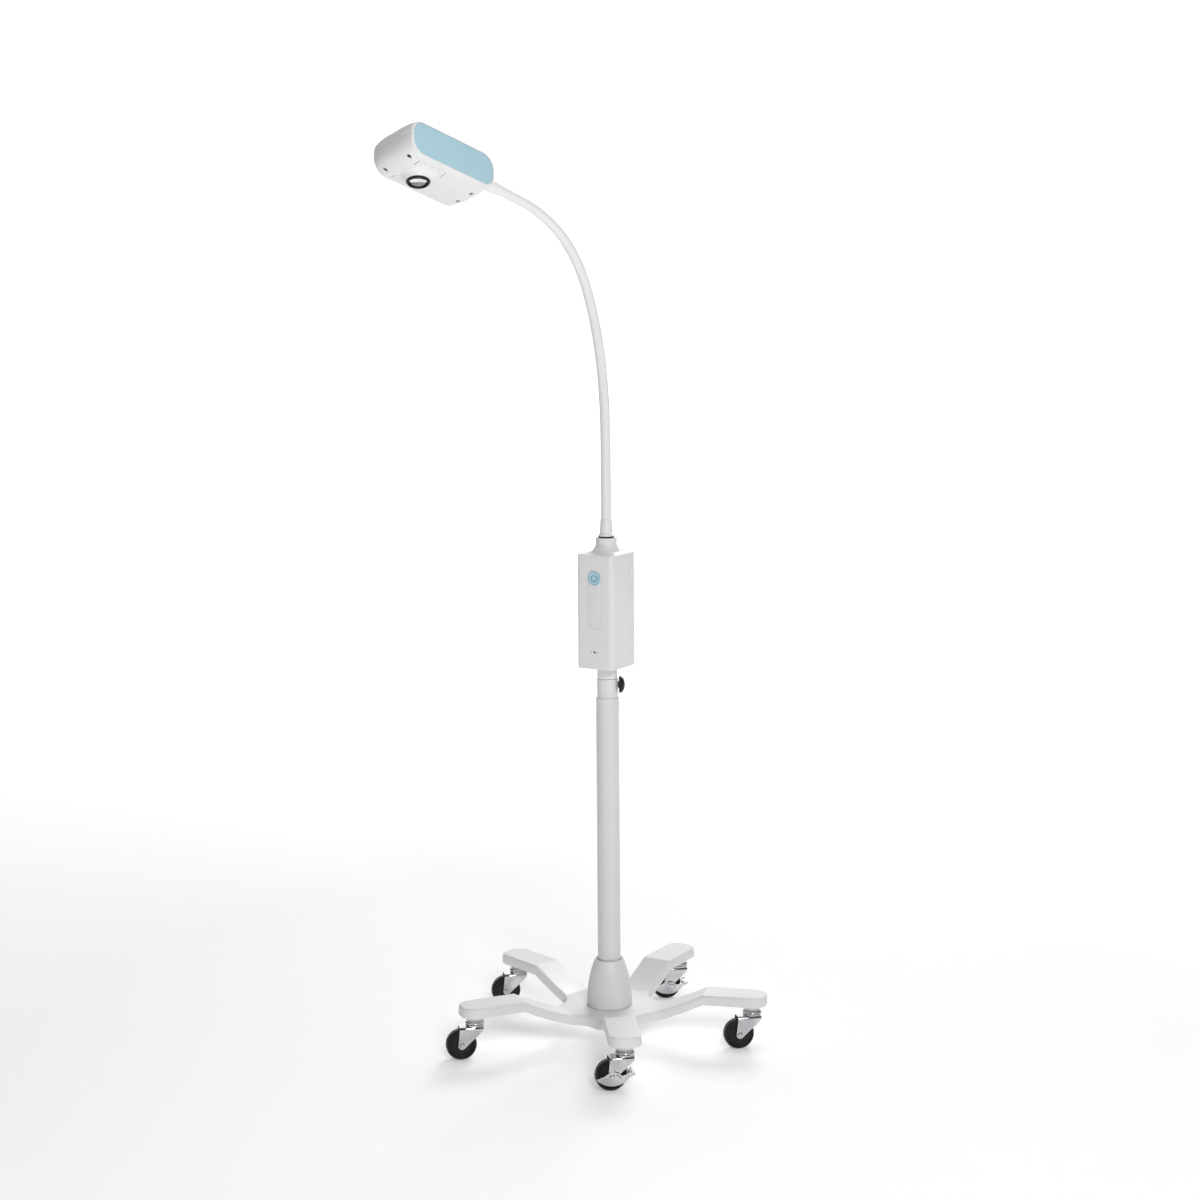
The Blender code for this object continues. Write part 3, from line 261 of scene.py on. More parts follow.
class Effects:
    """Shader node groups that several finishes share, each built once."""

    built: ClassVar[dict[str, Tree]] = {}

    @classmethod
    def start(cls, name: str, inputs: dict[str, str], outputs: tuple[str, ...]) -> tuple:
        """Open a group.

        Args:
            name: the group's name.
            inputs: socket names and their types.
            outputs: names of the float outputs.

        Returns:
            The tree, its input node and its output node.
        """
        tree = bpy.data.node_groups.new(name, "ShaderNodeTree")
        for label, kind in inputs.items():
            tree.interface.new_socket(label, in_out="INPUT", socket_type=kind)
        for label in outputs:
            tree.interface.new_socket(label, in_out="OUTPUT", socket_type="NodeSocketFloat")
        cls.built[name] = tree
        return tree, tree.nodes.new("NodeGroupInput"), tree.nodes.new("NodeGroupOutput")

    @staticmethod
    def noise(tree: Tree, position: Socket, detail: float) -> bpy.types.Node:
        """A noise texture at a position."""
        node = tree.nodes.new("ShaderNodeTexNoise")
        node.inputs["Detail"].default_value = detail
        tree.links.new(position, node.inputs["Vector"])
        return node

    @staticmethod
    def ramp(tree: Tree, value: Socket, span: tuple, onto: tuple = (0.0, 1.0)) -> Socket:
        """A value carried from one span onto another and clamped."""
        node = tree.nodes.new("ShaderNodeMapRange")
        for label, amount in zip(("From Min", "From Max", "To Min", "To Max"), span + onto):
            node.inputs[label].default_value = amount
        tree.links.new(value, node.inputs["Value"])
        return node.outputs[0]

    @staticmethod
    def product(tree: Tree, a: Socket, b: Socket) -> Socket:
        """Two values multiplied."""
        node = tree.nodes.new("ShaderNodeMath")
        node.operation = "MULTIPLY"
        tree.links.new(a, node.inputs[0])
        tree.links.new(b, node.inputs[1])
        return node.outputs[0]

    @classmethod
    def grain(cls) -> Tree:
        """Fine surface height and a broad mottle, both from Object coordinates."""
        if "surface_grain" not in cls.built:
            inputs = {"Position": "NodeSocketVector", "Grains": "NodeSocketFloat",
                      "Patches": "NodeSocketFloat"}
            tree, start, end = cls.start("surface_grain", inputs, ("Height", "Mottle"))
            fine = cls.noise(tree, start.outputs["Position"], 2.0)
            tree.links.new(start.outputs["Grains"], fine.inputs["Scale"])
            broad = cls.noise(tree, start.outputs["Position"], 4.0)
            tree.links.new(start.outputs["Patches"], broad.inputs["Scale"])
            spread = cls.ramp(tree, broad.outputs[0], (0.36, 0.66))
            tree.links.new(fine.outputs[0], end.inputs["Height"])
            tree.links.new(spread, end.inputs["Mottle"])
        return cls.built["surface_grain"]

    @classmethod
    def wear(cls) -> Tree:
        """Mask of outer edges, broken up by noise."""
        if "edge_wear" not in cls.built:
            tree, start, end = cls.start("edge_wear", {"Position": "NodeSocketVector",
                                                       "Amount": "NodeSocketFloat"}, ("Mask",))
            shape = tree.nodes.new("ShaderNodeNewGeometry")
            edge = cls.ramp(tree, shape.outputs["Pointiness"], (0.53, 0.62))
            patchy = cls.noise(tree, start.outputs["Position"], 5.0)
            patchy.inputs["Scale"].default_value = 85.0
            broken = cls.ramp(tree, patchy.outputs[0], (0.42, 0.62))
            mask = cls.product(tree, edge, broken)
            tree.links.new(cls.product(tree, mask, start.outputs["Amount"]), end.inputs["Mask"])
        return cls.built["edge_wear"]

    @classmethod
    def dust(cls) -> Tree:
        """Mask of a thin film on faces that look up."""
        if "settled_dust" not in cls.built:
            tree, start, end = cls.start("settled_dust", {"Position": "NodeSocketVector",
                                                          "Amount": "NodeSocketFloat"}, ("Mask",))
            shape = tree.nodes.new("ShaderNodeNewGeometry")
            parts = tree.nodes.new("ShaderNodeSeparateXYZ")
            tree.links.new(shape.outputs["Normal"], parts.inputs[0])
            up = cls.ramp(tree, parts.outputs["Z"], (0.55, 1.0))
            specks = cls.noise(tree, start.outputs["Position"], 6.0)
            specks.inputs["Scale"].default_value = 60.0
            film = cls.ramp(tree, specks.outputs[0], (0.35, 0.75))
            mask = cls.product(tree, up, film)
            tree.links.new(cls.product(tree, mask, start.outputs["Amount"]), end.inputs["Mask"])
        return cls.built["settled_dust"]


@dataclass(frozen=True)
class Finish:
    """One finish of the light and the material slot that it belongs to.

    Attributes:
        name: the material's name.
        slot: the record's slot; not used.
        colour: base colour, linear.
        shade: colour of the mottled patches.
        roughness: mean roughness.
        spread: how far the roughness wanders from patch to patch.
        metallic: 0 or 1.
        coat: weight of a clear top layer.
        grain: surface texture.
        patches: patches per metre.
        worn: colour that shows at rubbed edges.
        wear: strength of the edge wear.
        dust: strength of the settled dust.
        transmission: share of light let through.
        specular: strength of the mirror reflection of a non-metal.
    """

    name: str
    slot: str
    colour: tuple[float, float, float]
    shade: tuple[float, float, float]
    roughness: float
    spread: float = 0.05
    metallic: float = 0.0
    coat: float = 0.0
    grain: Grain = Grain.SPARKED
    patches: float = 9.0
    worn: tuple[float, float, float] = (0.62, 0.62, 0.60)
    wear: float = 0.25
    dust: float = 0.0
    transmission: float = 0.0
    specular: float = 0.5

    made: ClassVar[dict[str, bpy.types.Material]] = {}

    def material(self) -> bpy.types.Material:
        """The finish as a node material, made at its first use."""
        if self.name in Finish.made:
            return Finish.made[self.name]
        made = bpy.data.materials.new(self.name)
        made.use_nodes = True
        tree = made.node_tree
        shader = tree.nodes["Principled BSDF"]
        shader.inputs["Metallic"].default_value = self.metallic
        shader.inputs["Coat Weight"].default_value = self.coat
        shader.inputs["Transmission Weight"].default_value = self.transmission
        shader.inputs["Specular IOR Level"].default_value = self.specular
        position = tree.nodes.new("ShaderNodeTexCoord").outputs["Object"]

        grain = self.effect(tree, Effects.grain(), position)
        grain.inputs["Grains"].default_value = self.grain.value[0]
        grain.inputs["Patches"].default_value = self.patches
        colour = self.mixed(tree, grain.outputs["Mottle"], None, self.shade, self.colour)
        for group, amount, tint in ((Effects.wear(), self.wear, self.worn),
                                    (Effects.dust(), self.dust, (0.60, 0.58, 0.55))):
            if amount > 0.0:
                effect = self.effect(tree, group, position)
                effect.inputs["Amount"].default_value = amount
                colour = self.mixed(tree, effect.outputs["Mask"], colour, tint)
        tree.links.new(colour, shader.inputs["Base Color"])

        gloss = Effects.ramp(tree, grain.outputs["Mottle"], (0.0, 1.0),
                             (max(self.roughness - self.spread, 0.0), self.roughness + self.spread))
        tree.links.new(gloss, shader.inputs["Roughness"])

        bump = tree.nodes.new("ShaderNodeBump")
        bump.inputs["Strength"].default_value = 1.0
        bump.inputs["Distance"].default_value = self.grain.value[1]
        tree.links.new(grain.outputs["Height"], bump.inputs["Height"])
        tree.links.new(bump.outputs["Normal"], shader.inputs["Normal"])
        Finish.made[self.name] = made
        return made

    @staticmethod
    def effect(tree: Tree, group: Tree, position: Socket) -> bpy.types.Node:
        """Place a shared group in a material and feed it the position."""
        node = tree.nodes.new("ShaderNodeGroup")
        node.node_tree = group
        tree.links.new(position, node.inputs["Position"])
        return node

    @staticmethod
    def mixed(tree: Tree, share: Socket, under: Socket | None,
              tint: tuple, ground: tuple = (0.0, 0.0, 0.0)) -> Socket:
        """Lay a tint over a colour by a mask.

        Args:
            tree: the material's nodes.
            share: the mask.
            under: the colour below, or None for the plain ground colour.
            tint: the colour laid on.
            ground: plain colour below.

        Returns:
            The mixed colour.
        """
        node = tree.nodes.new("ShaderNodeMix")
        node.data_type = "RGBA"
        tree.links.new(share, node.inputs["Factor"])
        node.inputs[6].default_value = (*ground, 1.0)
        node.inputs[7].default_value = (*tint, 1.0)
        if under is not None:
            tree.links.new(under, node.inputs[6])
        return node.outputs[2]


POWDER_COAT = Finish("white_powder_coat", "powder_coat", (0.80, 0.80, 0.80), (0.770, 0.772, 0.776), 0.42,
                     grain=Grain.ORANGE_PEEL, coat=0.10, dust=0.10)
POLE_PAINT = Finish("pole_paint", "pole_paint", (0.74, 0.74, 0.75), (0.72, 0.72, 0.73), 0.36,
                    grain=Grain.ORANGE_PEEL, coat=0.15)
HOUSING = Finish("white_housing", "white_plastic", (0.790, 0.790, 0.792), (0.768, 0.770, 0.773), 0.38,
                 dust=0.05)
SLEEVE = Finish("neck_sleeve", "neck_sheath", (0.79, 0.79, 0.785), (0.77, 0.77, 0.765), 0.46,
                grain=Grain.SLEEVE)
BLUE = Finish("pale_blue_panel", "blue_panel", (0.430, 0.635, 0.725), (0.410, 0.615, 0.710), 0.44, wear=0.15,
              worn=(0.60, 0.75, 0.82), specular=0.35)
ICON_BLUE = Finish("icon_blue", "blue_panel", (0.42, 0.66, 0.78), (0.38, 0.62, 0.75), 0.26, coat=0.3,
                   grain=Grain.POLISHED, worn=(0.60, 0.75, 0.82), wear=0.1)
ICON_RIM = Finish("icon_rim", "blue_panel", (0.22, 0.43, 0.55), (0.20, 0.40, 0.52), 0.3, wear=0.0)
ICON_INK = Finish("icon_ink", "blue_panel", (0.050, 0.140, 0.195), (0.040, 0.120, 0.175), 0.35, wear=0.0)
PRINT_GREY = Finish("print_grey", "white_plastic", (0.16, 0.17, 0.19), (0.20, 0.21, 0.23), 0.5, wear=0.0)
STRIP = Finish("pale_strip", "strip_grey", (0.760, 0.760, 0.766), (0.740, 0.741, 0.746), 0.34, coat=0.15,
               grain=Grain.POLISHED)
CHROME = Finish("bright_chrome", "chrome", (0.62, 0.62, 0.63), (0.46, 0.46, 0.48), 0.09, 0.06, 1.0,
                grain=Grain.POLISHED, patches=45.0, worn=(0.42, 0.40, 0.37), wear=0.35)
STEEL = Finish("zinc_steel", "zinc_steel", (0.42, 0.42, 0.43), (0.34, 0.35, 0.37), 0.34, 0.08, 1.0,
               patches=120.0, worn=(0.60, 0.60, 0.60))
TYRE = Finish("black_wheel", "black_wheel", (0.008, 0.008, 0.009), (0.014, 0.014, 0.015), 0.45,
              grain=Grain.CAST_RUBBER, patches=60.0, worn=(0.05, 0.05, 0.05), wear=0.5, specular=0.3)
BLACK = Finish("black_plastic", "black_plastic", (0.006, 0.006, 0.007), (0.010, 0.010, 0.011), 0.36,
               patches=60.0, worn=(0.04, 0.04, 0.04), wear=0.3, specular=0.3)
BOARD = Finish("green_board", "circuit_green", (0.03, 0.16, 0.07), (0.02, 0.11, 0.05), 0.4,
               patches=90.0, wear=0.0)
EMITTER = Finish("emitter", "circuit_green", (0.86, 0.72, 0.20), (0.80, 0.62, 0.14), 0.3, wear=0.0)
BARE = Finish("bare_aluminium", "bare_aluminium", (0.68, 0.68, 0.69), (0.60, 0.60, 0.62), 0.32, 0.08, 1.0)
GLASS = Finish("clear_lens", "clear_lens", (0.94, 0.96, 0.97), (0.92, 0.95, 0.96), 0.03, 0.02,
               grain=Grain.POLISHED, wear=0.0, transmission=1.0)


# --------------------------------------------------------------------- pieces
def tidy(mesh: bpy.types.Mesh, sharp: float) -> None:
    """Smooth a mesh, with edges over the sharp angle (degrees) kept crisp."""
    mesh.shade_smooth()
    mesh.set_sharp_from_angle(angle=math.radians(sharp))


def closed_mesh(name: str, skin: Skin, inward: bool = False) -> bpy.types.Mesh:
    """A mesh from a closed surface, with its poles merged and its faces turned out,
    or in for the lining of a shell."""
    mesh = bpy.data.meshes.new(name)
    mesh.from_pydata(skin.points, [], skin.faces)
    work = bmesh.new()
    work.from_mesh(mesh)
    bmesh.ops.remove_doubles(work, verts=work.verts, dist=MERGE)
    bmesh.ops.recalc_face_normals(work, faces=work.faces)
    if inward:
        bmesh.ops.reverse_faces(work, faces=work.faces)
    work.to_mesh(mesh)
    work.free()
    return mesh


def link(name: str, mesh: bpy.types.Mesh) -> bpy.types.Object:
    """Put a mesh in the scene as an object at the origin."""
    piece = bpy.data.objects.new(name, mesh)
    bpy.context.scene.collection.objects.link(piece)
    return piece


def make(name: str, skin: Skin, matrix: Matrix = Matrix.Identity(4), sharp: float = 32.0) -> bpy.types.Object:
    """One object from a closed surface.

    Args:
        name: the piece's name.
        skin: its surface, in its own axes.
        matrix: where those axes lie in the frame.
        sharp: angle in degrees above which an edge stays crisp.

    Returns:
        The object, at the origin, with its place in its mesh.
    """
    mesh = closed_mesh(name, skin.moved(matrix))
    tidy(mesh, sharp)
    return link(name, mesh)


def make_shell(name: str, outer: Skin, lining: Skin, point: tuple, outward: tuple,
               matrix: Matrix = Matrix.Identity(4)) -> bpy.types.Object:
    """Half of a hollow body, parted by a plane.

    Args:
        name: the piece's name.
        outer: outer skin of the whole body.
        lining: inner skin of the whole body.
        point: a point on the plane.
        outward: the plane's normal, away from the half that stays.
        matrix: where the body's axes lie in the frame.

    Returns:
        The half shell, its cut wall closed between the two skins.
    """
    mesh = closed_mesh(name, outer)
    inner = closed_mesh(f"{name}_lining", lining, inward=True)
    work = bmesh.new()
    work.from_mesh(mesh)
    work.from_mesh(inner)
    bmesh.ops.bisect_plane(work, geom=work.verts[:] + work.edges[:] + work.faces[:], plane_co=point,
                           plane_no=outward, clear_outer=True)
    bmesh.ops.bridge_loops(work, edges=[edge for edge in work.edges if edge.is_boundary])
    work.transform(matrix)
    bmesh.ops.recalc_face_normals(work, faces=work.faces)
    work.to_mesh(mesh)
    work.free()
    bpy.data.meshes.remove(inner)
    tidy(mesh, SHELL_SHARP)
    return link(name, mesh)


def combine(piece: bpy.types.Object, extra: Skin, operation: str) -> bpy.types.Mesh:
    """Keep a boolean of a piece with closed shapes as the piece's mesh.

    Args:
        piece: the piece to change.
        extra: the closed shapes.
        operation: "DIFFERENCE" or "UNION".

    Returns:
        The piece's new mesh.
    """
    other = make(f"{piece.name}_{operation.lower()}", extra)
    step = piece.modifiers.new("combine", "BOOLEAN")
    step.operation = operation
    step.object = other
    graph = bpy.context.evaluated_depsgraph_get()
    made = bpy.data.meshes.new_from_object(piece.evaluated_get(graph))
    piece.modifiers.remove(step)
    piece.data = made
    bpy.data.objects.remove(other)
    return made


def carve(piece: bpy.types.Object, tools: Skin, sharp: float = 32.0) -> None:
    """Cut closed shapes out of a piece."""
    tidy(combine(piece, tools, "DIFFERENCE"), sharp)


def fit(piece: bpy.types.Object, finish: Finish, body: str, *nodes: str) -> bpy.types.Object:
    """Dress a piece, hang it on a body and hide the nodes that it stands for."""
    piece.data.materials.clear()
    piece.data.materials.append(finish.material())
    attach(piece, body)
    if nodes:
        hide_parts(*nodes)
    LOG.info("piece %s on %s", piece.name, body)
    return piece


def dress(finish: Finish, *nodes: str) -> None:
    """Give hidden CAD nodes a finish."""
    for node in nodes:
        mesh = frame["nodes"][node].data
        mesh.materials.clear()
        mesh.materials.append(finish.material())
        LOG.info("node %s keeps its shape", node)


def centre(node: str) -> Vector:
    """Middle of a CAD node's box."""
    low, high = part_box(node)
    return (low + high) / 2.0


# ----------------------------------------------------------------------- base
@dataclass
class BaseStar:
    """The five-leg cast base: flat hub, ramped legs and level pads."""

    legs: int = 5
    first_angle: float = QUARTER
    half_width: float = 0.027
    reach: float = 0.2665
    fillet: float = 0.045
    thickness: float = 0.0165
    hub_top: float = 0.058
    pad_top: float = 0.091
    ramp: tuple[float, float] = (0.080, 0.163)
    corner: float = 0.0215
    edge: float = 0.0030
    draft: float = 0.0009
    bottom_edge: float = 0.0012
    boss_radius: float = 0.0130
    boss_bottom: float = 0.0660
    bolt_radius: float = 0.0040

    def rise(self, along: np.ndarray) -> np.ndarray:
        """Height above the hub: the ramp's share to the power 1.25, averaged over
        3 mm so that the crease at the pad is a small bend."""
        start, end = self.ramp
        spread = np.linspace(-0.0015, 0.0015, 9)
        share = np.clip((np.asarray(along)[..., None] + spread - start) / (end - start), 0.0, 1.0)
        return (self.pad_top - self.hub_top) * (share ** 1.25).mean(-1)

    def side(self) -> tuple[np.ndarray, np.ndarray]:
        """One side of a leg, from the valley to the tip.

        Returns:
            Points (along, out) and their outward normals: a fillet arc, a straight
            run with close stations at the crease, and the pad's corner arc.
        """
        sector = math.pi / self.legs
        reach = (self.half_width + self.fillet) / math.sin(sector)
        hollow = np.array((reach * math.cos(sector), reach * math.sin(sector)))
        turn = np.linspace(math.pi + sector, 1.5 * math.pi, 26)
        ray = np.stack((np.cos(turn), np.sin(turn)), -1)
        straight_start, straight_end = hollow[0], self.reach - self.corner
        crease = self.ramp[1] + np.linspace(-0.0024, 0.0024, 9)
        stations = np.unique(np.concatenate((np.linspace(straight_start, straight_end, 42)[1:-1], crease)))
        straight = np.column_stack((stations, np.full(len(stations), self.half_width)))
        swing = np.linspace(QUARTER, 0.0, 14)
        round_ray = np.stack((np.cos(swing), np.sin(swing)), -1)
        tip = np.array((straight_end, self.half_width - self.corner)) + self.corner * round_ray
        points = np.vstack((hollow + self.fillet * ray, straight, tip))
        normals = np.vstack((-ray, np.tile((0.0, 1.0), (len(stations), 1)), round_ray))
        return points, normals

    def edge_profile(self) -> np.ndarray:
        """(inset, height) down a leg's edge: top round, drafted wall, bottom round."""
        turn = np.linspace(0.0, QUARTER, 7)
        top = np.stack((self.draft + self.edge * (1.0 - np.sin(turn)), -self.edge * (1.0 - np.cos(turn))), -1)
        turn = turn[::2]
        low = -self.thickness + self.bottom_edge * (1.0 - np.sin(turn))
        bottom = np.stack((self.bottom_edge * (1.0 - np.cos(turn)), low), -1)
        return np.vstack((top, bottom))

    def leg(self) -> Skin:
        """One sector of the star along +X: top, underside and the wall round them."""
        points, normals = self.side()
        profile = self.edge_profile()
        across = np.linspace(-1.0, 1.0, 13)
        made = None
        for drop, (draw, level) in ((0, profile[0]), (1, profile[-1])):
            line = points - draw * normals
            inner = np.linspace(0.0, 1.0, 12)[:-1, None] * line[0]
            rows = np.vstack((inner, line))
            x = np.repeat(rows[:, :1], len(across), 1)
            face = np.stack((x, rows[:, 1:] * across, self.hub_top + self.rise(x) + level), -1)
            made = grid(face) if drop == 0 else made + grid(face)
        mirror = np.array((1.0, -1.0))
        end = np.column_stack((np.full(len(across), points[-1, 0]), across * points[-1, 1]))
        path = np.vstack((points * mirror, end, points[::-1]))
        facing = np.vstack((normals * mirror, np.tile((1.0, 0.0), (len(across), 1)), normals[::-1]))
        place = path[:, None] - profile[None, :, :1] * facing[:, None]
        height = self.hub_top + self.rise(place[..., 0]) + profile[None, :, 1]
        return made + grid(np.concatenate((place, height[..., None]), -1))

    def boss(self) -> Skin:
        """The round boss that holds a caster stem, flared into the pad's underside."""
        top = self.pad_top - self.thickness + 0.0012
        radius, low = self.boss_radius, self.boss_bottom
        line = eased([(0.0, low), (radius, low), (radius + 0.0004, top - 0.0035), (radius + 0.0035, top),
                      (0.0, top)], [0.0, 0.0007, 0.004, 0.0, 0.0])
        return turned(line, 64)

    def build(self) -> None:
        """Make the star and the bolt under its hub."""
        whole = None
        for number in range(self.legs):
            turn = Matrix.Rotation(self.first_angle + 2.0 * math.pi * number / self.legs, 4, "Z")
            stem = Vector(JOINTS[f"caster_swivel_{number + 1}"]["pos_m"])
            sector = self.leg().moved(turn) + self.boss().moved(Matrix.Translation((stem.x, stem.y, 0.0)))
            whole = sector if whole is None else whole + sector
        fit(make("star_casting", whole, sharp=40.0), POWDER_COAT, "stand", "base_star")
        self.build_bolt()

    def build_bolt(self) -> None:
        """The bolt that ties the pole's foot to the star, with its washer."""
        low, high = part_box("base_bolt")
        shank, under = self.bolt_radius, self.hub_top - self.thickness
        seat = under - 0.0022
        head = eased([(0.0, low.z), (0.0060, low.z), (0.0075, low.z + 0.0010), (0.0075, seat - 0.0001),
                      (0.0, seat - 0.0001)], [0.0, 0.0003, 0.0, 0.0, 0.0])
        washer = eased([(shank, seat), (0.0110, seat), (0.0110, under - GAP), (shank, under - GAP)], 0.0003,
                       closed=True)
        stem = [(0.0, seat), (shank, seat), (shank, high.z), (0.0, high.z)]
        fit(make("hub_bolt", turned(head, 6) + turned(washer, 64) + turned(stem, 48)), STEEL, "stand",
            "base_bolt")


@dataclass
class Pole:
    """Pole tube, cone cover, adapter collar and clamp knob."""

    radius: float = 0.01905
    wall: float = 0.0019
    foot: float = 0.0583
    top: float = 0.583
    cone_top: float = 0.138
    collar_radius: float = 0.0171
    collar_top: float = 0.6147
    pin_radius: float = 0.0110
    knob_radius: float = 0.0140
    knob_inner: float = 0.0192
    knob_face: float = 0.0290

    def cone(self) -> Skin:
        """Cover over the pole's foot: nearly upright at the floor end, bowed in to a
        rim with an open ring round the pole."""
        foot, top, near = self.foot, self.cone_top, self.radius + 0.0009
        outer = [(0.0372, foot), (0.0380, foot + 0.0015), (0.0376, 0.0700), (0.0368, 0.0850),
                 (0.0340, 0.1040), (0.0292, 0.1230), (0.0243, top - 0.0006), (0.0234, top)]
        inner = [(0.0222, top), (0.0208, top - 0.0040), (near, top - 0.0048), (near, top - 0.0070),
                 (0.0225, top - 0.0090), (0.0320, 0.1040), (0.0350, 0.0700), (0.0352, foot)]
        line = eased(outer + inner, [0.0006, 0.002, 0.08, 0.08, 0.08, 0.08, 0.0009, 0.0005] + [0.0005] * 8,
                     closed=True, steps=8)
        return turned(line, 128)

    def build(self) -> None:
        """Make the pole and what stands round and in it."""
        inner = self.radius - self.wall
        outer, foot, top = self.radius, self.foot, self.top
        tube = eased([(outer, foot), (outer, top), (inner, top), (inner, foot)], [0.0, 0.0006, 0.0003, 0.0],
                     closed=True)
        fit(make("pole_tube", turned(tube, 128)), POLE_PAINT, "stand", "pole")
        fit(make("foot_cone", self.cone(), sharp=40.0), HOUSING, "stand", "cone_cover")
        low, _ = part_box("pole_insert")
        bore, shank, collar, rim = self.pin_radius + GAP, inner - GAP, self.collar_radius, self.collar_top
        sleeve = eased([(bore, low.z), (shank, low.z), (shank, top - 0.001), (collar, top + GAP),
                        (collar, rim), (bore, rim)], [0.0, 0.0, 0.0002, 0.0002, 0.0007, 0.0004], closed=True)
        adapter = make("pole_adapter", turned(sleeve, 128))
        carve(adapter, slab(circle(0.0035, 32), 0.012, 0.030).moved(self.knob_axes()))
        fit(adapter, POLE_PAINT, "stand", "pole_insert")
        dress(STEEL, "pole_plug")
        self.build_knob()

    def knob_axes(self) -> Matrix:
        """The clamp screw's own axes: Z runs outwards along it."""
        turn = JOINTS["clamp_turn"]
        outward = Vector(turn["axis"]).to_track_quat("Z", "Y").to_matrix().to_4x4()
        return Matrix.Translation(turn["pos_m"]) @ outward

    def build_knob(self) -> None:
        """Clamp knob: a domed black disc on a short neck, with its screw."""
        face, rim, inner = self.knob_face, self.knob_radius, self.knob_inner
        low = self.collar_radius + 0.0006
        turn = np.linspace(0.0, QUARTER, 14)
        shoulder = inner + 0.0016
        dome = np.stack((rim * np.cos(turn), shoulder + (face - shoulder) * np.sin(turn)), -1)
        neck = eased([(0.0, low), (0.0060, low), (0.0062, inner), (rim - 0.0006, inner),
                      (rim, inner + 0.0006), (rim, shoulder)], [0.0, 0.0003, 0.0004, 0.0004, 0.0004, 0.0])
        knob = turned(np.vstack((neck, dome[1:])), 72)
        fit(make("knob_dome", knob, self.knob_axes()), BLACK, "knob", "clamp_knob")
        tip = self.pin_radius + GAP
        shank = eased([(0.0, tip), (0.0026, tip), (0.0030, tip + 0.0007), (0.0030, low), (0.0, low)], 0.0002)
        fit(make("knob_screw", turned(shank, 32), self.knob_axes()), STEEL, "knob")


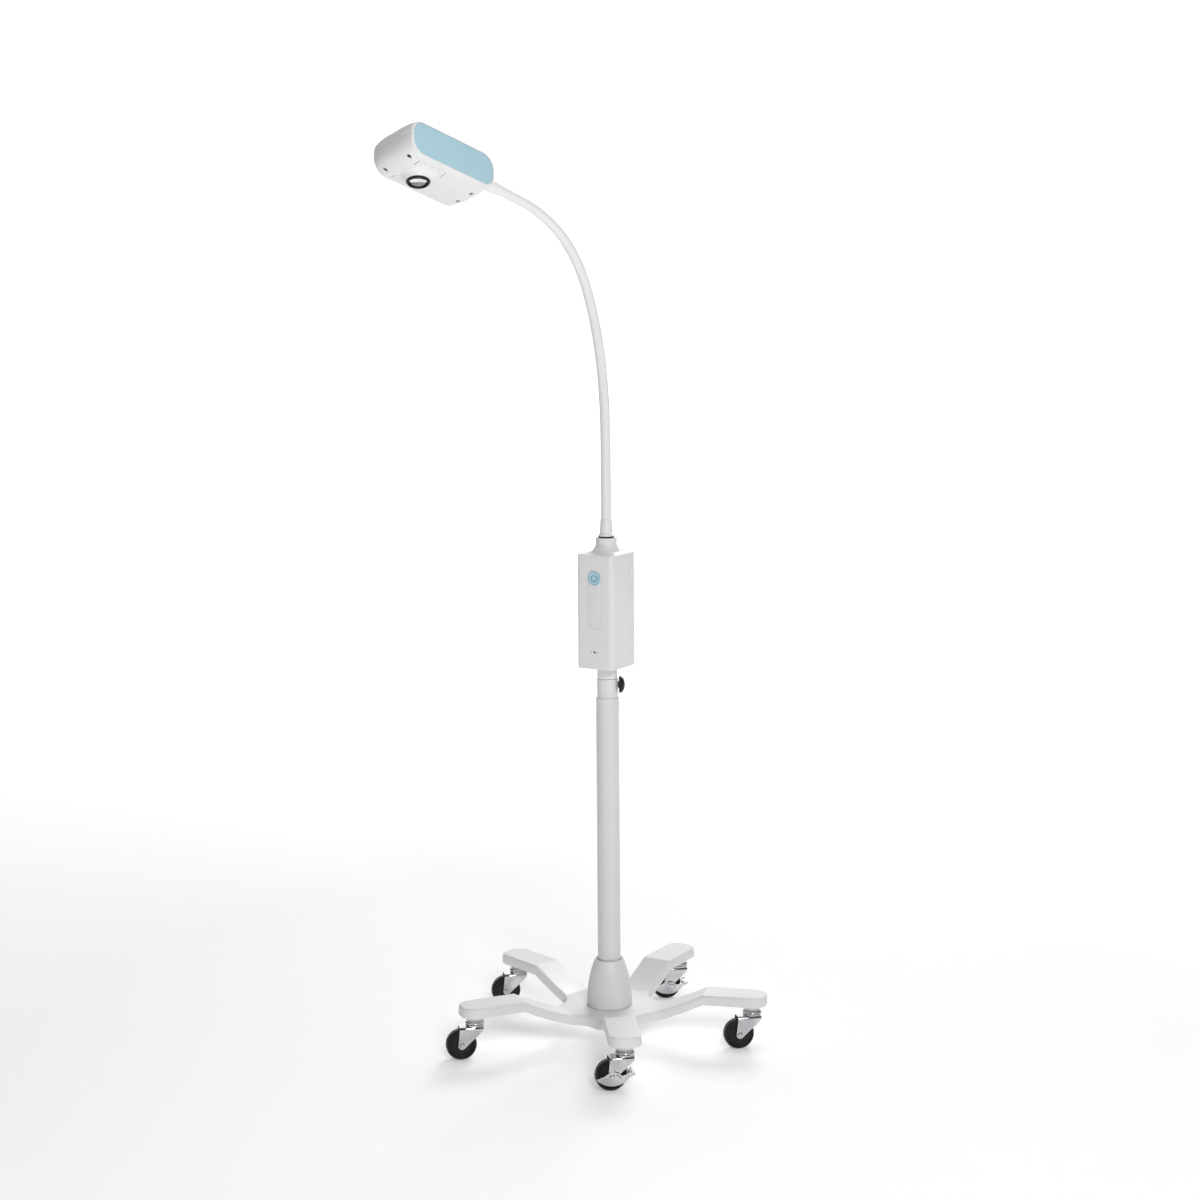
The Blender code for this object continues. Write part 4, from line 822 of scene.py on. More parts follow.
# -------------------------------------------------------------------- casters
@dataclass
class Caster:
    """One trailing caster in its own axes: x ahead of the stem, y along the axle."""

    number: int
    braked: bool
    wheel_radius: float = 0.0254
    half_tread: float = 0.0100
    gauge: float = 0.0016
    inner: float = 0.0112
    crown: float = 0.0551
    tip_radius: float = 0.0062
    axle_radius: float = 0.0030
    race_radius: float = 0.0160

    def __post_init__(self) -> None:
        """Read the stem's and the axle's places from the frame."""
        stem = Vector(JOINTS[f"caster_swivel_{self.number}"]["pos_m"])
        axle = Vector(JOINTS[f"wheel_spin_{self.number}"]["pos_m"])
        lead = Vector((stem.x - axle.x, stem.y - axle.y, 0.0))
        self.trail = lead.length
        heading = Matrix.Rotation(math.atan2(lead.y, lead.x), 4, "Z")
        self.axes = Matrix.Translation((stem.x, stem.y, 0.0)) @ heading
        self.axle_height = axle.z
        self.hub_axes = self.axes @ Matrix.Translation((-self.trail, 0.0, self.axle_height))
        self.spin_axes = self.hub_axes @ FACE_FRONT

    def fork_limits(self, height: np.ndarray, across: np.ndarray) -> tuple[np.ndarray, np.ndarray]:
        """Rear and front ends of the fork's sheet.

        A side plate narrows downwards to a round tip about the axle; the crown
        runs past the stem with a bowed front.

        Args:
            height: heights along the sheet.
            across: distances from the caster's middle plane.

        Returns:
            The rear and front x.
        """
        back, low = -self.trail, height - self.axle_height
        half = np.sqrt(np.maximum(self.tip_radius ** 2 - low ** 2, 0.0))
        rear = np.interp(height, (self.axle_height + 0.0009, self.crown), (back - 0.0061, back - 0.0030))
        front = np.interp(height, (self.axle_height - 0.0038, 0.0455, 0.0500, self.crown),
                          (back + 0.0049, 0.0083, 0.0128, 0.0135))
        rear = np.where(low < 0.0009, back - half, rear)
        front = np.where(low < -0.0038, back + half, front)
        front = front + 0.0022 * np.maximum(1.0 - (across / (self.inner + 0.0005)) ** 2, 0.0) * (low > 0.029)
        return rear, front

    def fork(self) -> Skin:
        """The stamped fork: one sheet bent down at both sides of the crown.

        The sheet's middle line runs up one side, round a 3 mm bend, across and
        down; at each point of it a flat section with rounded edges spans the
        sheet's width along x.
        """
        middle, bottom = self.inner + self.gauge / 2.0, self.axle_height - self.tip_radius + 0.0002
        turn = np.linspace(QUARTER, 0.0, 10)
        dip = self.axle_height - (self.tip_radius - 0.0002) * np.sin(turn)
        right = np.concatenate((dip, np.linspace(self.axle_height + 0.002, self.crown - 0.003, 24)))
        bend = np.linspace(0.0, QUARTER, 8)[1:]
        y = np.concatenate((np.full(len(right), middle), middle - 0.003 * (1.0 - np.cos(bend)),
                            np.linspace(middle - 0.003, 0.0, 8)[1:]))
        z = np.concatenate((right, self.crown - 0.003 + 0.003 * np.sin(bend), np.full(7, self.crown)))
        y, z = np.concatenate((y, -y[-2::-1])), np.concatenate((z, z[-2::-1]))
        z[0] = z[-1] = bottom
        slope_y, slope_z = np.gradient(y), np.gradient(z)
        size = np.hypot(slope_y, slope_z)
        normal_y, normal_z = slope_z / size, -slope_y / size
        rear, front = self.fork_limits(z, y)
        round_off = 0.0004
        swing = np.linspace(0.0, 2.0 * math.pi, 16, endpoint=False) + math.pi / 16.0
        push_x, push_n = np.cos(swing), np.sin(swing)
        half_x = np.maximum((front - rear) / 2.0 - round_off, 0.0)[:, None] * np.sign(push_x)
        x = ((front + rear) / 2.0)[:, None] + half_x + round_off * push_x
        lift = np.sign(push_n) * (self.gauge / 2.0 - round_off) + round_off * push_n
        y, z = y[:, None] + lift * normal_y[:, None], z[:, None] + lift * normal_z[:, None]
        points = np.stack((x, y, z), -1)
        race = self.race_radius - 0.0006
        dish = eased([(0.0, self.crown), (0.0122, self.crown), (race, 0.0572), (race, 0.0592),
                      (race - 0.0012, 0.0597), (0.0, 0.0597)], [0.0, 0.0008, 0.0012, 0.0004, 0.0, 0.0])
        return capped(points) + turned(dish, 72)

    def raceway(self) -> Skin:
        """Domed upper raceway and the stem above it."""
        line = eased([(0.0, 0.0601), (self.race_radius - 0.0012, 0.0601), (self.race_radius, 0.0607),
                      (self.race_radius, 0.0624), (0.0148, 0.0641), (0.0124, 0.0656), (0.0045, 0.0656),
                      (0.0045, 0.0860), (0.0, 0.0860)],
                     [0.0, 0.0, 0.0006, 0.0010, 0.0022, 0.0006, 0.0, 0.0, 0.0])
        return turned(line, 72)

    def wheel(self) -> Skin:
        """Solid wheel: crowned tread, soft shoulders, dished faces, raised hub and a
        moulded ring on each face."""
        radius, half = self.wheel_radius, self.half_tread
        face = [(self.axle_radius + GAP, half), (0.0062, half + 0.0002), (0.0078, half - 0.0002),
                (0.0088, half - 0.0026), (0.0150, half - 0.0030), (0.0158, half - 0.0022),
                (0.0168, half - 0.0022), (0.0176, half - 0.0030), (0.0196, half - 0.0026),
                (0.0214, half - 0.0004), (0.0228, half - 0.0006), (0.0246, half - 0.0030),
                (radius, half - 0.0060)]
        line = face + [(radius + 0.00001, 0.0)] + [(r, -w) for r, w in reversed(face)]
        bends = [0.0, 0.0004, 0.0006, 0.0012] + [0.0004] * 4 + [0.0010, 0.0010, 0.0014, 0.0030, 0.006]
        return turned(eased(line, bends + [0.02] + bends[::-1], closed=True, steps=4), 96)

    def axle(self) -> Skin:
        """Axle rivet with domed heads outside the fork or the brake's cheeks."""
        stack = self.inner + self.gauge + GAP + (0.0014 + GAP if self.braked else 0.0)
        head, rim = stack + 0.0015, 0.0047
        half = [(0.0, head), (0.0022, head), (0.0026, head - 0.0004), (0.0036, head - 0.0002),
                (rim, stack + 0.0005), (rim, stack), (self.axle_radius, stack)]
        bends = [0.0, 0.0003, 0.0003, 0.0006, 0.0004, 0.0, 0.0]
        line = half + [(r, -h) for r, h in reversed(half)]
        return turned(eased(line, bends + bends[::-1]), 48)

    def brake(self) -> Skin:
        """Brake lever: two cheeks with a raised rib, joined by a foot tab in front."""
        near = self.inner + self.gauge + GAP
        far = near + 0.0014
        outline = eased([(0.0285, -0.0020), (0.0372, 0.0018), (0.0372, 0.0044), (0.0250, 0.0036),
                         (0.0165, 0.0012), (0.0112, 0.0056), (0.0020, 0.0090), (-0.0060, 0.0064),
                         (-0.0150, 0.0010), (-0.0254, -0.0022), (-0.0240, -0.0052), (-0.0120, -0.0128),
                         (0.0020, -0.0156), (0.0120, -0.0137), (0.0200, -0.0095)],
                        [0.004, 0.0008, 0.0008, 0.003, 0.004, 0.006, 0.010, 0.010, 0.010, 0.0008, 0.004,
                         0.02, 0.02, 0.02, 0.01], closed=True)
        turn = np.linspace(math.radians(8.0), math.radians(150.0), 24)
        arch = np.stack((0.0050 + 0.0098 * np.cos(turn), -0.0072 + 0.0098 * np.sin(turn),
                         np.full(len(turn), far)), -1)
        side = slab(outline, near, far, 0.0004) + rod(arch, 0.0008)
        flip = Matrix.Scale(-1.0, 4, (0.0, 0.0, 1.0))
        cheeks = (side + side.moved(flip)).moved(FACE_FRONT)
        tab = slab(rounded_rectangle(0.0250, 0.0371, -far, far, 0.0022), 0.0022, 0.0036, 0.0005)
        stop = slab(rounded_rectangle(0.0268, 0.0292, -far, far, 0.0008), 0.0030, 0.0064, 0.0007)
        return cheeks + tab + stop

    def build(self) -> None:
        """Make the caster's pieces."""
        n, body = self.number, f"caster_{self.number}"
        fit(make(f"raceway_{n}", self.raceway(), self.axes), CHROME, "stand", f"caster_stem_{n}")
        fit(make(f"fork_{n}", self.fork(), self.axes), CHROME, body, f"caster_fork_{n}")
        fit(make(f"axle_rivet_{n}", self.axle(), self.spin_axes), CHROME, body, f"caster_axle_{n}")
        fit(make(f"wheel_tread_{n}", self.wheel(), self.spin_axes), TYRE, f"wheel_{n}", f"caster_wheel_{n}")
        if self.braked:
            lever = make(f"foot_brake_{n}", self.brake(), self.hub_axes)
            fit(lever, CHROME, f"brake_{n}", f"brake_lever_{n}")


# ----------------------------------------------------------------- power unit
@dataclass
class PowerUnit:
    """Square power unit on the pole: housing halves, icon, strip, sensor and inlet."""

    half_width: float = 0.034
    front: float = -0.0403
    back: float = 0.0338
    seam: float = 0.0165
    wall: float = 0.0025
    front_corner: float = 0.0085
    back_corner: float = 0.004
    stub_radius: float = 0.01665
    stub_bottom: float = 0.6153
    foot_low: float = 0.6315
    foot_high: float = 0.6357
    roof_low: float = 0.8234
    roof_high: float = 0.8375
    collar_radius: float = 0.0172
    collar_top: float = 0.8480
    strip_half: float = 0.0135
    strip_low: float = 0.7024
    strip_high: float = 0.7990
    strip_depth: float = 0.0012
    icon_height: float = 0.7855
    icon_radius: float = 0.01125
    window_height: float = 0.6640
    window_radius: float = 0.0018
    inlet_height: float = 0.6640

    def outline(self, draw: float) -> np.ndarray:
        """Plan of the walls, moved in by draw, with closely spaced points."""
        half, front, back = self.half_width - draw, self.front + draw, self.back - draw
        ahead, behind = max(self.front_corner - draw, 0.002), max(self.back_corner - draw, 0.001)
        line = rounded_rectangle(-half, half, front, back, [ahead, behind, behind, ahead])
        closed = np.vstack((line, line[:1]))
        length = np.concatenate(((0.0,), np.cumsum(np.linalg.norm(np.diff(closed, axis=0), axis=1))))
        stations = np.union1d(np.linspace(0.0, length[-1], 120, endpoint=False), length[:-1])
        return np.stack([np.interp(stations, length, closed[:, k]) for k in (0, 1)], -1)

    def body(self, draw: float) -> Skin:
        """The unit's outer or inner skin.

        Each section is the wall outline drawn towards a circle about the pole by
        a share that is 1 at the stub and the collar and 0 on the walls; the foot
        and the roof are concave flares between them.
        """
        outline = self.outline(draw)
        angle = np.arctan2(outline[:, 1], outline[:, 0])
        ray = np.stack((np.cos(angle), np.sin(angle)), -1)
        bend = np.sin(np.linspace(0.0, QUARTER, 17))
        foot = [(t, self.foot_high - (self.foot_high - self.foot_low) * t ** 4) for t in bend[:0:-1]]
        roof = [(t, self.roof_low + (self.roof_high - self.roof_low) * t ** 5) for t in bend[1:]]
        crease, tip = 0.0012, 0.004 if draw else 0.0
        edge = np.linspace(0.0, QUARTER, 5)
        lifts, draws = crease * (1.0 - np.cos(edge)), crease * (1.0 - np.sin(edge))
        bottom, top = self.stub_bottom + tip, self.collar_top - tip
        rows = [(1.0, bottom, 0.0004, True), (1.0, bottom + 0.0004, 0.0, True)]
        rows += [(share, height + draw, 0.0, True) for share, height in foot]
        rows += [(0.0, self.foot_high + draw + a, b, True) for a, b in zip(lifts, draws)]
        rows += [(0.0, self.roof_low - draw - b, a, False) for a, b in zip(lifts, draws)]
        rows += [(share, height - draw, 0.0, False) for share, height in roof]
        rows += [(1.0, top - 0.0006, 0.0, False), (1.0, top, 0.0006, False)]
        rings = []
        for share, height, soften, at_foot in rows:
            radius = (self.stub_radius if at_foot else self.collar_radius) - draw - soften
            base = inset(outline, soften) if soften else outline
            rings.append(np.column_stack((base + share * (radius * ray - base), np.full(len(base), height))))
        return capped(np.array(rings))

    def on_face(self, skin: Skin, height: float) -> Skin:
        """Carry a shape drawn in (x, height, out) to the front face at a height."""
        return skin.moved(Matrix.Translation((0.0, 0.0, height)) @ FACE_FRONT)

    def build_front(self) -> None:
        """Front housing with the strip, the icon and the sensor set into it."""
        shell = make_shell("housing_front", self.body(0.0), self.body(self.wall),
                           (0.0, self.seam - 0.0002, 0.0), (0.0, 1.0, 0.0))
        middle, half = (self.strip_low + self.strip_high) / 2.0, (self.strip_high - self.strip_low) / 2.0
        face, rim, eye = -self.front, self.icon_radius, self.window_radius
        floor = face - self.strip_depth
        tools = self.on_face(slab(stadium(self.strip_half, half), floor, face + 0.01, 0.0002), middle)
        socket = slab(circle(eye + 0.0002, 40), face - 0.0030, face + 0.01, 0.0)
        tools += self.on_face(socket, self.window_height)
        carve(shell, tools, SHELL_SHARP)
        fit(shell, HOUSING, "power_unit", "unit_front")
        strip = slab(stadium(self.strip_half - 0.0008, half - 0.0008), floor + 0.0001, face - 0.0005, 0.0003)
        plate = make("touch_strip", self.on_face(strip, middle))
        cutter = slab(circle(rim + 0.0002), floor - 0.001, face + 0.01, 0.0)
        carve(plate, self.on_face(cutter, self.icon_height))
        fit(plate, STRIP, "power_unit", "sensor_strip")
        disc = eased([(0.0, floor + 0.0001), (rim, floor + 0.0001), (rim, face + 0.0002),
                      (rim - 0.0010, face + 0.0003), (rim - 0.0014, face), (rim - 0.0030, face - 0.0001),
                      (0.0, face - 0.0003)], [0.0, 0.0, 0.0003, 0.0004, 0.0004, 0.002, 0.0])
        fit(make("icon_disc", self.on_face(turned(disc, 96), self.icon_height)), ICON_BLUE, "power_unit",
            "power_icon")
        self.build_symbol(face)
        dome = [(0.0, face - 0.0028), (eye, face - 0.0028), (eye, face - 0.0004), (eye * 0.8, face + 0.0001),
                (0.0, face + 0.0002)]
        fit(make("sensor_dome", self.on_face(turned(eased(dome, 0.0005), 40), self.window_height)),
            BLACK, "power_unit", "sensor_window")

    def build_symbol(self, face: float) -> None:
        """The power symbol, the icon's border and the marks beside the sensor."""
        gap, radius, stroke, top = math.radians(36.0), 0.0053, 0.00068, face - 0.00040
        turn = np.linspace(QUARTER + gap, QUARTER + 2.0 * math.pi - gap, 60)
        ring = np.stack((radius * np.cos(turn), radius * np.sin(turn), np.full(60, top)), -1)
        bar = np.stack((np.zeros(8), np.linspace(0.0018, 0.0070, 8), np.full(8, top)), -1)
        symbol = rod(ring, stroke) + rod(bar, stroke)
        fit(make("power_symbol", self.on_face(symbol, self.icon_height)), ICON_INK, "power_unit")
        outer, inner = self.icon_radius - 0.0002, self.icon_radius - 0.0013
        border = eased([(inner, face - 0.0006), (outer, face - 0.0006), (outer, face + 0.0004),
                        (inner, face + 0.0004)], 0.0002, closed=True)
        fit(make("icon_border", self.on_face(turned(border, 96), self.icon_height)), ICON_RIM, "power_unit")
        marks = None
        for hand in (-1.0, 1.0):
            corner = eased([(hand * 0.0050, 0.0022), (hand * 0.0068, 0.0), (hand * 0.0050, -0.0022)],
                           [0.0, 0.0006, 0.0])
            path = np.column_stack((corner, np.full(len(corner), face - 0.0001)))
            mark = rod(path, 0.00028, 8)
            marks = mark if marks is None else marks + mark
        fit(make("sensor_marks", self.on_face(marks, self.window_height)), PRINT_GREY, "power_unit")

    def build_rear(self) -> None:
        """Rear cover with its inlet and four screws."""
        shell = make_shell("housing_rear", self.body(0.0), self.body(self.wall),
                           (0.0, self.seam + 0.0002, 0.0), (0.0, -1.0, 0.0))
        low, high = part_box("power_inlet")
        half_x, half_z = (high.x - low.x) / 2.0, (high.z - low.z) / 2.0
        place = Matrix.Translation((0.0, 0.0, self.inlet_height)) @ FACE_BACK
        opening = slab(rounded_rectangle(-half_x - GAP, half_x + GAP, -half_z - GAP, half_z + GAP, 0.002),
                       self.back - 0.012, self.back + 0.01, 0.0).moved(place)
        spots = [(x, z) for x in (-0.0270, 0.0270) for z in (0.6500, 0.8090)]
        for x, z in spots:
            opening += slab(circle(0.0034, 40), self.back - 0.0016, self.back + 0.01, 0.0).moved(
                Matrix.Translation((x, 0.0, z)) @ FACE_BACK)
        carve(shell, opening, SHELL_SHARP)
        fit(shell, HOUSING, "power_unit", "unit_rear")
        flange = make("inlet_socket", slab(rounded_rectangle(-half_x, half_x, -half_z, half_z, 0.0022), low.y,
                                           high.y, 0.0004).moved(place))
        well = rounded_rectangle(-half_x + 0.0022, half_x - 0.0022, -half_z + 0.0022, half_z - 0.0022,
                                 [0.0012, 0.0045, 0.0045, 0.0012])
        carve(flange, slab(well, self.back - 0.0150, self.back + 0.01, 0.0).moved(place))
        fit(flange, BLACK, "power_unit", "power_inlet")
        blades = None
        for x, z in ((-0.0055, 0.0010), (0.0, -0.0022), (0.0055, 0.0010)):
            blade = slab(rounded_rectangle(x - 0.0010, x + 0.0010, z - 0.0020, z + 0.0020, 0.0005),
                         self.back - 0.0152, self.back - 0.0045, 0.0004).moved(place)
            blades = blade if blades is None else blades + blade
        fit(make("inlet_blades", blades), STEEL, "power_unit")
        for number, (x, z) in enumerate(spots, 1):
            screw = screw_head(0.0030).moved(Matrix.Translation((x, self.back - 0.0014, z)) @ FACE_BACK)
            fit(make(f"cover_screw_{number}", screw), STEEL, "power_unit")

    def build(self) -> None:
        """Make the whole unit."""
        self.build_front()
        self.build_rear()
        low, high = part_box("neck_o_ring")
        middle, squash = (low.z + high.z) / 2.0, (high.z - low.z) / 2.0
        turn = np.linspace(0.0, 2.0 * math.pi, 20, endpoint=False)
        ring = np.stack((high.x - 0.0015 + 0.0015 * np.cos(turn), middle + squash * np.sin(turn)), -1)
        fit(make("seal_ring", turned(ring, 96)), BLACK, "power_unit", "neck_o_ring")
        dress(STEEL, "mount_pin")
        dress(BOARD, "driver_board")


def screw_head(radius: float) -> Skin:
    """A pan-head screw seen from outside: domed head with a cross of two grooves.

    The head's height falls off as the square of the distance from the middle, and
    drops by a fixed depth within a stroke of either axis.
    """
    share = np.linspace(0.0, 1.0, 22)[:, None]
    turn = np.linspace(0.0, 2.0 * math.pi, 64, endpoint=False)[None, :]
    x, y = radius * share * np.cos(turn), radius * share * np.sin(turn)
    near = np.minimum(np.abs(x), np.abs(y))
    reach = 0.62 * radius - np.hypot(x, y)
    groove = np.clip((0.00042 - near) / 0.00012, 0.0, 1.0) * np.clip(reach / 0.0002, 0.0, 1.0)
    height = 0.0010 - 0.0004 * share ** 2 - 0.0007 * groove
    top = np.stack((x, y, height), -1)
    wall = top[-1:] * np.array((1.0, 1.0, 0.0)) - np.array((0.0, 0.0, 0.0006))
    tip = np.broadcast_to((0.0, 0.0, -0.0006), wall.shape)
    return grid(np.concatenate((top, wall, tip)), wrap_columns=True)


# ------------------------------------------------------------------ gooseneck
@dataclass
class Gooseneck:
    """Bendable neck: ferrule at the power unit, one smooth sleeve, gland at the head."""

    radius: float = 0.0082
    base: float = 0.8800
    ferrule_bottom: float = 0.8505
    ferrule_top: float = 0.8780
    inside: float = 0.0155
    gland_start: float = 0.0540
    links: int = 10

    def __post_init__(self) -> None:
        """Lay the centre line through the frame's pivots.

        Between two neighbouring pivots the line is the cubic that meets both with
        tangents taken from the pivots on either side; the ends run along +Z and
        along the head's turning axis.
        """
        pivots = sorted((JOINTS[name] for name in JOINTS if name.startswith(("neck_bend", "neck_sway"))),
                        key=lambda joint: int(joint["child"].rsplit("_", 1)[1]))
        roll = JOINTS["head_roll"]
        self.end = Vector(roll["pos_m"])
        self.forward = Vector(roll["axis"]).normalized()
        knots = np.array([(0.0, 0.0, self.base - self.inside)] + [tuple(joint["pos_m"]) for joint in pivots]
                         + [tuple(self.end)])
        marks = np.concatenate(((0.0,), np.cumsum(np.linalg.norm(np.diff(knots, axis=0), axis=1))))
        slopes = np.gradient(knots, marks, axis=0, edge_order=2)
        slopes[0], slopes[-1] = (0.0, 0.0, 1.0), tuple(self.forward)
        self.knots, self.marks, self.slopes = knots, marks, slopes
        out = Vector((self.end.x, self.end.y, 0.0)).normalized()
        self.side = Vector((0.0, 0.0, 1.0)).cross(out)

    def at(self, distance: np.ndarray) -> np.ndarray:
        """Points of the centre line at distances along it (cubic Hermite pieces)."""
        piece = np.clip(np.searchsorted(self.marks, distance, side="right") - 1, 0, len(self.marks) - 2)
        span = (self.marks[piece + 1] - self.marks[piece])[:, None]
        t = (np.asarray(distance)[:, None] - self.marks[piece][:, None]) / span
        knots, rise = self.knots, self.slopes
        ahead = (3 * t ** 2 - 2 * t ** 3) * knots[piece + 1] + (t ** 3 - t ** 2) * span * rise[piece + 1]
        behind = (2 * t ** 3 - 3 * t ** 2 + 1) * knots[piece] + (t ** 3 - 2 * t ** 2 + t) * span * rise[piece]
        return behind + ahead

    def sleeve_part(self, start: float, end: float) -> Skin:
        """A stretch of the sleeve. One more station past each end gives its end rings
        the same tangent as those of the next stretch."""
        stations = np.linspace(start, end, 40)
        reach = np.concatenate((stations[:1] - 1e-4, stations, stations[-1:] + 1e-4))
        path = self.at(np.clip(reach, 0.0, self.marks[-1]))
        return capped(bent_rod(path, np.full(len(reach), self.radius), self.side)[1:-1])

    def build(self) -> None:
        """Make the ferrule, the sleeve's stretches and the gland."""
        low, top, grip = self.ferrule_bottom, self.ferrule_top, self.radius + 0.0002
        ferrule = eased([(0.0075, low), (0.0130, low), (0.0130, low + 0.0028), (0.0108, low + 0.0038),
                         (0.0092, top), (grip, top + 0.0002), (grip, low + 0.0130), (0.0075, low + 0.0130)],
                        [0.0003, 0.0006, 0.0008, 0.0030, 0.0005, 0.0002, 0.0, 0.0], closed=True)
        fit(make("neck_socket", turned(ferrule, 96), sharp=24.0), HOUSING, "neck_base", "neck_ferrule")
        cuts = [0.0] + [float(self.marks[k:k + 2].mean()) for k in range(1, self.links)]
        cuts.append(float(self.marks[-1]) - 0.046)
        for k in range(self.links):
            piece = make(f"sleeve_{k + 1:02d}", self.sleeve_part(cuts[k], cuts[k + 1]))
            piece.data.materials.append(SLEEVE.material())
            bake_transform(piece)
            nodes = ("neck_00", "neck_01") if k == 0 else (f"neck_{k + 1:02d}",)
            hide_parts(*nodes)
        self.build_gland()

    def build_gland(self) -> None:
        """Tapered boot from the sleeve to the head's rear wall."""
        turn = self.forward.to_track_quat("Z", "Y").to_matrix().to_4x4()
        place = Matrix.Translation(self.end - self.forward * self.gland_start) @ turn
        snug = self.radius + 0.0001
        line = eased([(snug, 0.0004), (0.0090, 0.0), (0.0102, 0.0160), (0.0113, 0.0340), (0.0118, 0.0520),
                      (0.0080, 0.0520), (0.0080, 0.0640), (0.0052, 0.0640), (0.0052, 0.0100), (snug, 0.0098)],
                     [0.0, 0.0004, 0.03, 0.03, 0.0005, 0.0, 0.0, 0.0, 0.0, 0.0], closed=True)
        fit(make("neck_boot", turned(line, 72), place), SLEEVE, "head", "neck_gland")


# ----------------------------------------------------------------------- head
@dataclass
class Head:
    """Lamp head in its own axes: x away from the neck, y to one side, z to the top."""

    half_length: float = 0.0823
    half_height: float = 0.02845
    corner: float = 0.0235
    half_width: float = 0.0432
    side_round: float = 0.0022
    panel: tuple[float, float, float] = (0.0783, 0.02545, 0.0195)
    panel_gauge: float = 0.0014
    belly: tuple[float, float, float] = (0.0048, 0.0027, 0.0042)
    wall: float = 0.0024
    parting: float = 0.0005
    lens_x: float = 0.0325
    bezel_radius: float = 0.0180
    bezel_bore: float = 0.0140

    def __post_init__(self) -> None:
        """Read the head's axes from the turning axis and the two side panels."""
        near, far = centre("side_panel_near"), centre("side_panel_far")
        forward = Vector(JOINTS["head_roll"]["axis"]).normalized()
        side = (near - far).normalized()
        top = forward.cross(side)
        axes = Matrix((forward, side, top)).transposed().to_4x4()
        axes.translation = (near + far) / 2.0
        self.axes = axes

    def ring(self, length: float, height: float, corner: float) -> tuple[np.ndarray, np.ndarray]:
        """Side-view outline with evenly cut edges.

        Args:
            length: half length.
            height: half height.
            corner: corner radius.

        Returns:
            (n, 2) points (x, z) and their outward normals.
        """
        points, normals = [], []
        edge_cuts = (14, 44, 14, 44)
        for k, (sx, sz) in enumerate(((1, 1), (-1, 1), (-1, -1), (1, -1))):
            turn = np.linspace(0.0, QUARTER, 15) + QUARTER * k
            ray = np.stack((np.cos(turn), np.sin(turn)), -1)
            arc = np.array((sx * (length - corner), sz * (height - corner))) + corner * ray
            sx2, sz2 = ((-1, 1), (-1, -1), (1, -1), (1, 1))[k]
            start_next = np.array((sx2 * (length - corner), sz2 * (height - corner))) + corner * ray[-1]
            share = np.linspace(0.0, 1.0, edge_cuts[(k + 1) % 4] + 1)[1:-1, None]
            points += [arc, arc[-1] + share * (start_next - arc[-1])]
            normals += [ray, np.tile(ray[-1], (len(share), 1))]
        return np.vstack(points), np.vstack(normals)

    def body(self, draw: float) -> Skin:
        """The head's outer or inner skin.

        A section at a share w of the half width is the side-view outline pushed
        out along its normals by belly * (1 - |w|^p).  The push differs for the
        underside, the top and the ends, and p falls towards the neck, where the
        body is rounder.  Close to a side the outline is drawn in on a quarter
        round, and the flat side ends in the panel's pocket.
        """
        points, normals = self.ring(self.half_length - draw, self.half_height - draw, self.corner - draw)
        width = self.half_width - draw - (self.panel_gauge if draw else 0.0)
        under, above, ends = self.belly
        push = np.where(normals[:, 1] < 0.0, under, above) * normals[:, 1] ** 2 + ends * normals[:, 0] ** 2
        power = 2.4 + 1.2 * points[:, 0] / self.half_length
        turn = np.linspace(0.0, QUARTER, 7)

        def section(y: float, plan: np.ndarray, out: np.ndarray | float = 0.0) -> np.ndarray:
            """A side-view outline at a share of the width, pushed out along its normals."""
            place = plan + normals * np.broadcast_to(out, len(plan))[:, None]
            return np.column_stack((place[:, 0], np.full(len(plan), y), place[:, 1]))

        level = width - self.side_round
        rows = [section(y, points, push * (1.0 - abs(y / width) ** power))
                for y in np.linspace(-level, level, 49)]
        swell = push * (1.0 - (1.0 - self.side_round / width) ** power)
        for hand in (-1.0, 1.0):
            rounds = [section(hand * (width - self.side_round * (1.0 - math.sin(t))), points,
                              (1.0 - math.sin(t)) * swell - self.side_round * (1.0 - math.cos(t)))
                      for t in turn[1:]]
            if draw == 0.0:
                lip, _ = self.ring(*(size + GAP for size in self.panel))
                rounds += [section(hand * (width - depth), lip) for depth in (0.0, self.panel_gauge + GAP)]
            rows = rounds[::-1] + rows if hand < 0.0 else rows + rounds
        return capped(np.array(rows))

    def boss(self) -> Skin:
        """Raised lens seat on the underside: a flared cone with a rounded rim."""
        line = eased([(0.0, -0.0290), (0.0335, -0.0290), (0.0335, -0.0302), (0.0290, -0.0326),
                      (0.0245, -0.0345), (0.0212, -0.0390), (0.0200, -0.0418), (0.0, -0.0418)],
                     [0.0, 0.0, 0.0, 0.0100, 0.0140, 0.0080, 0.0010, 0.0], steps=8)
        return turned(line, 96).moved(Matrix.Translation((self.lens_x, 0.0, 0.0)))

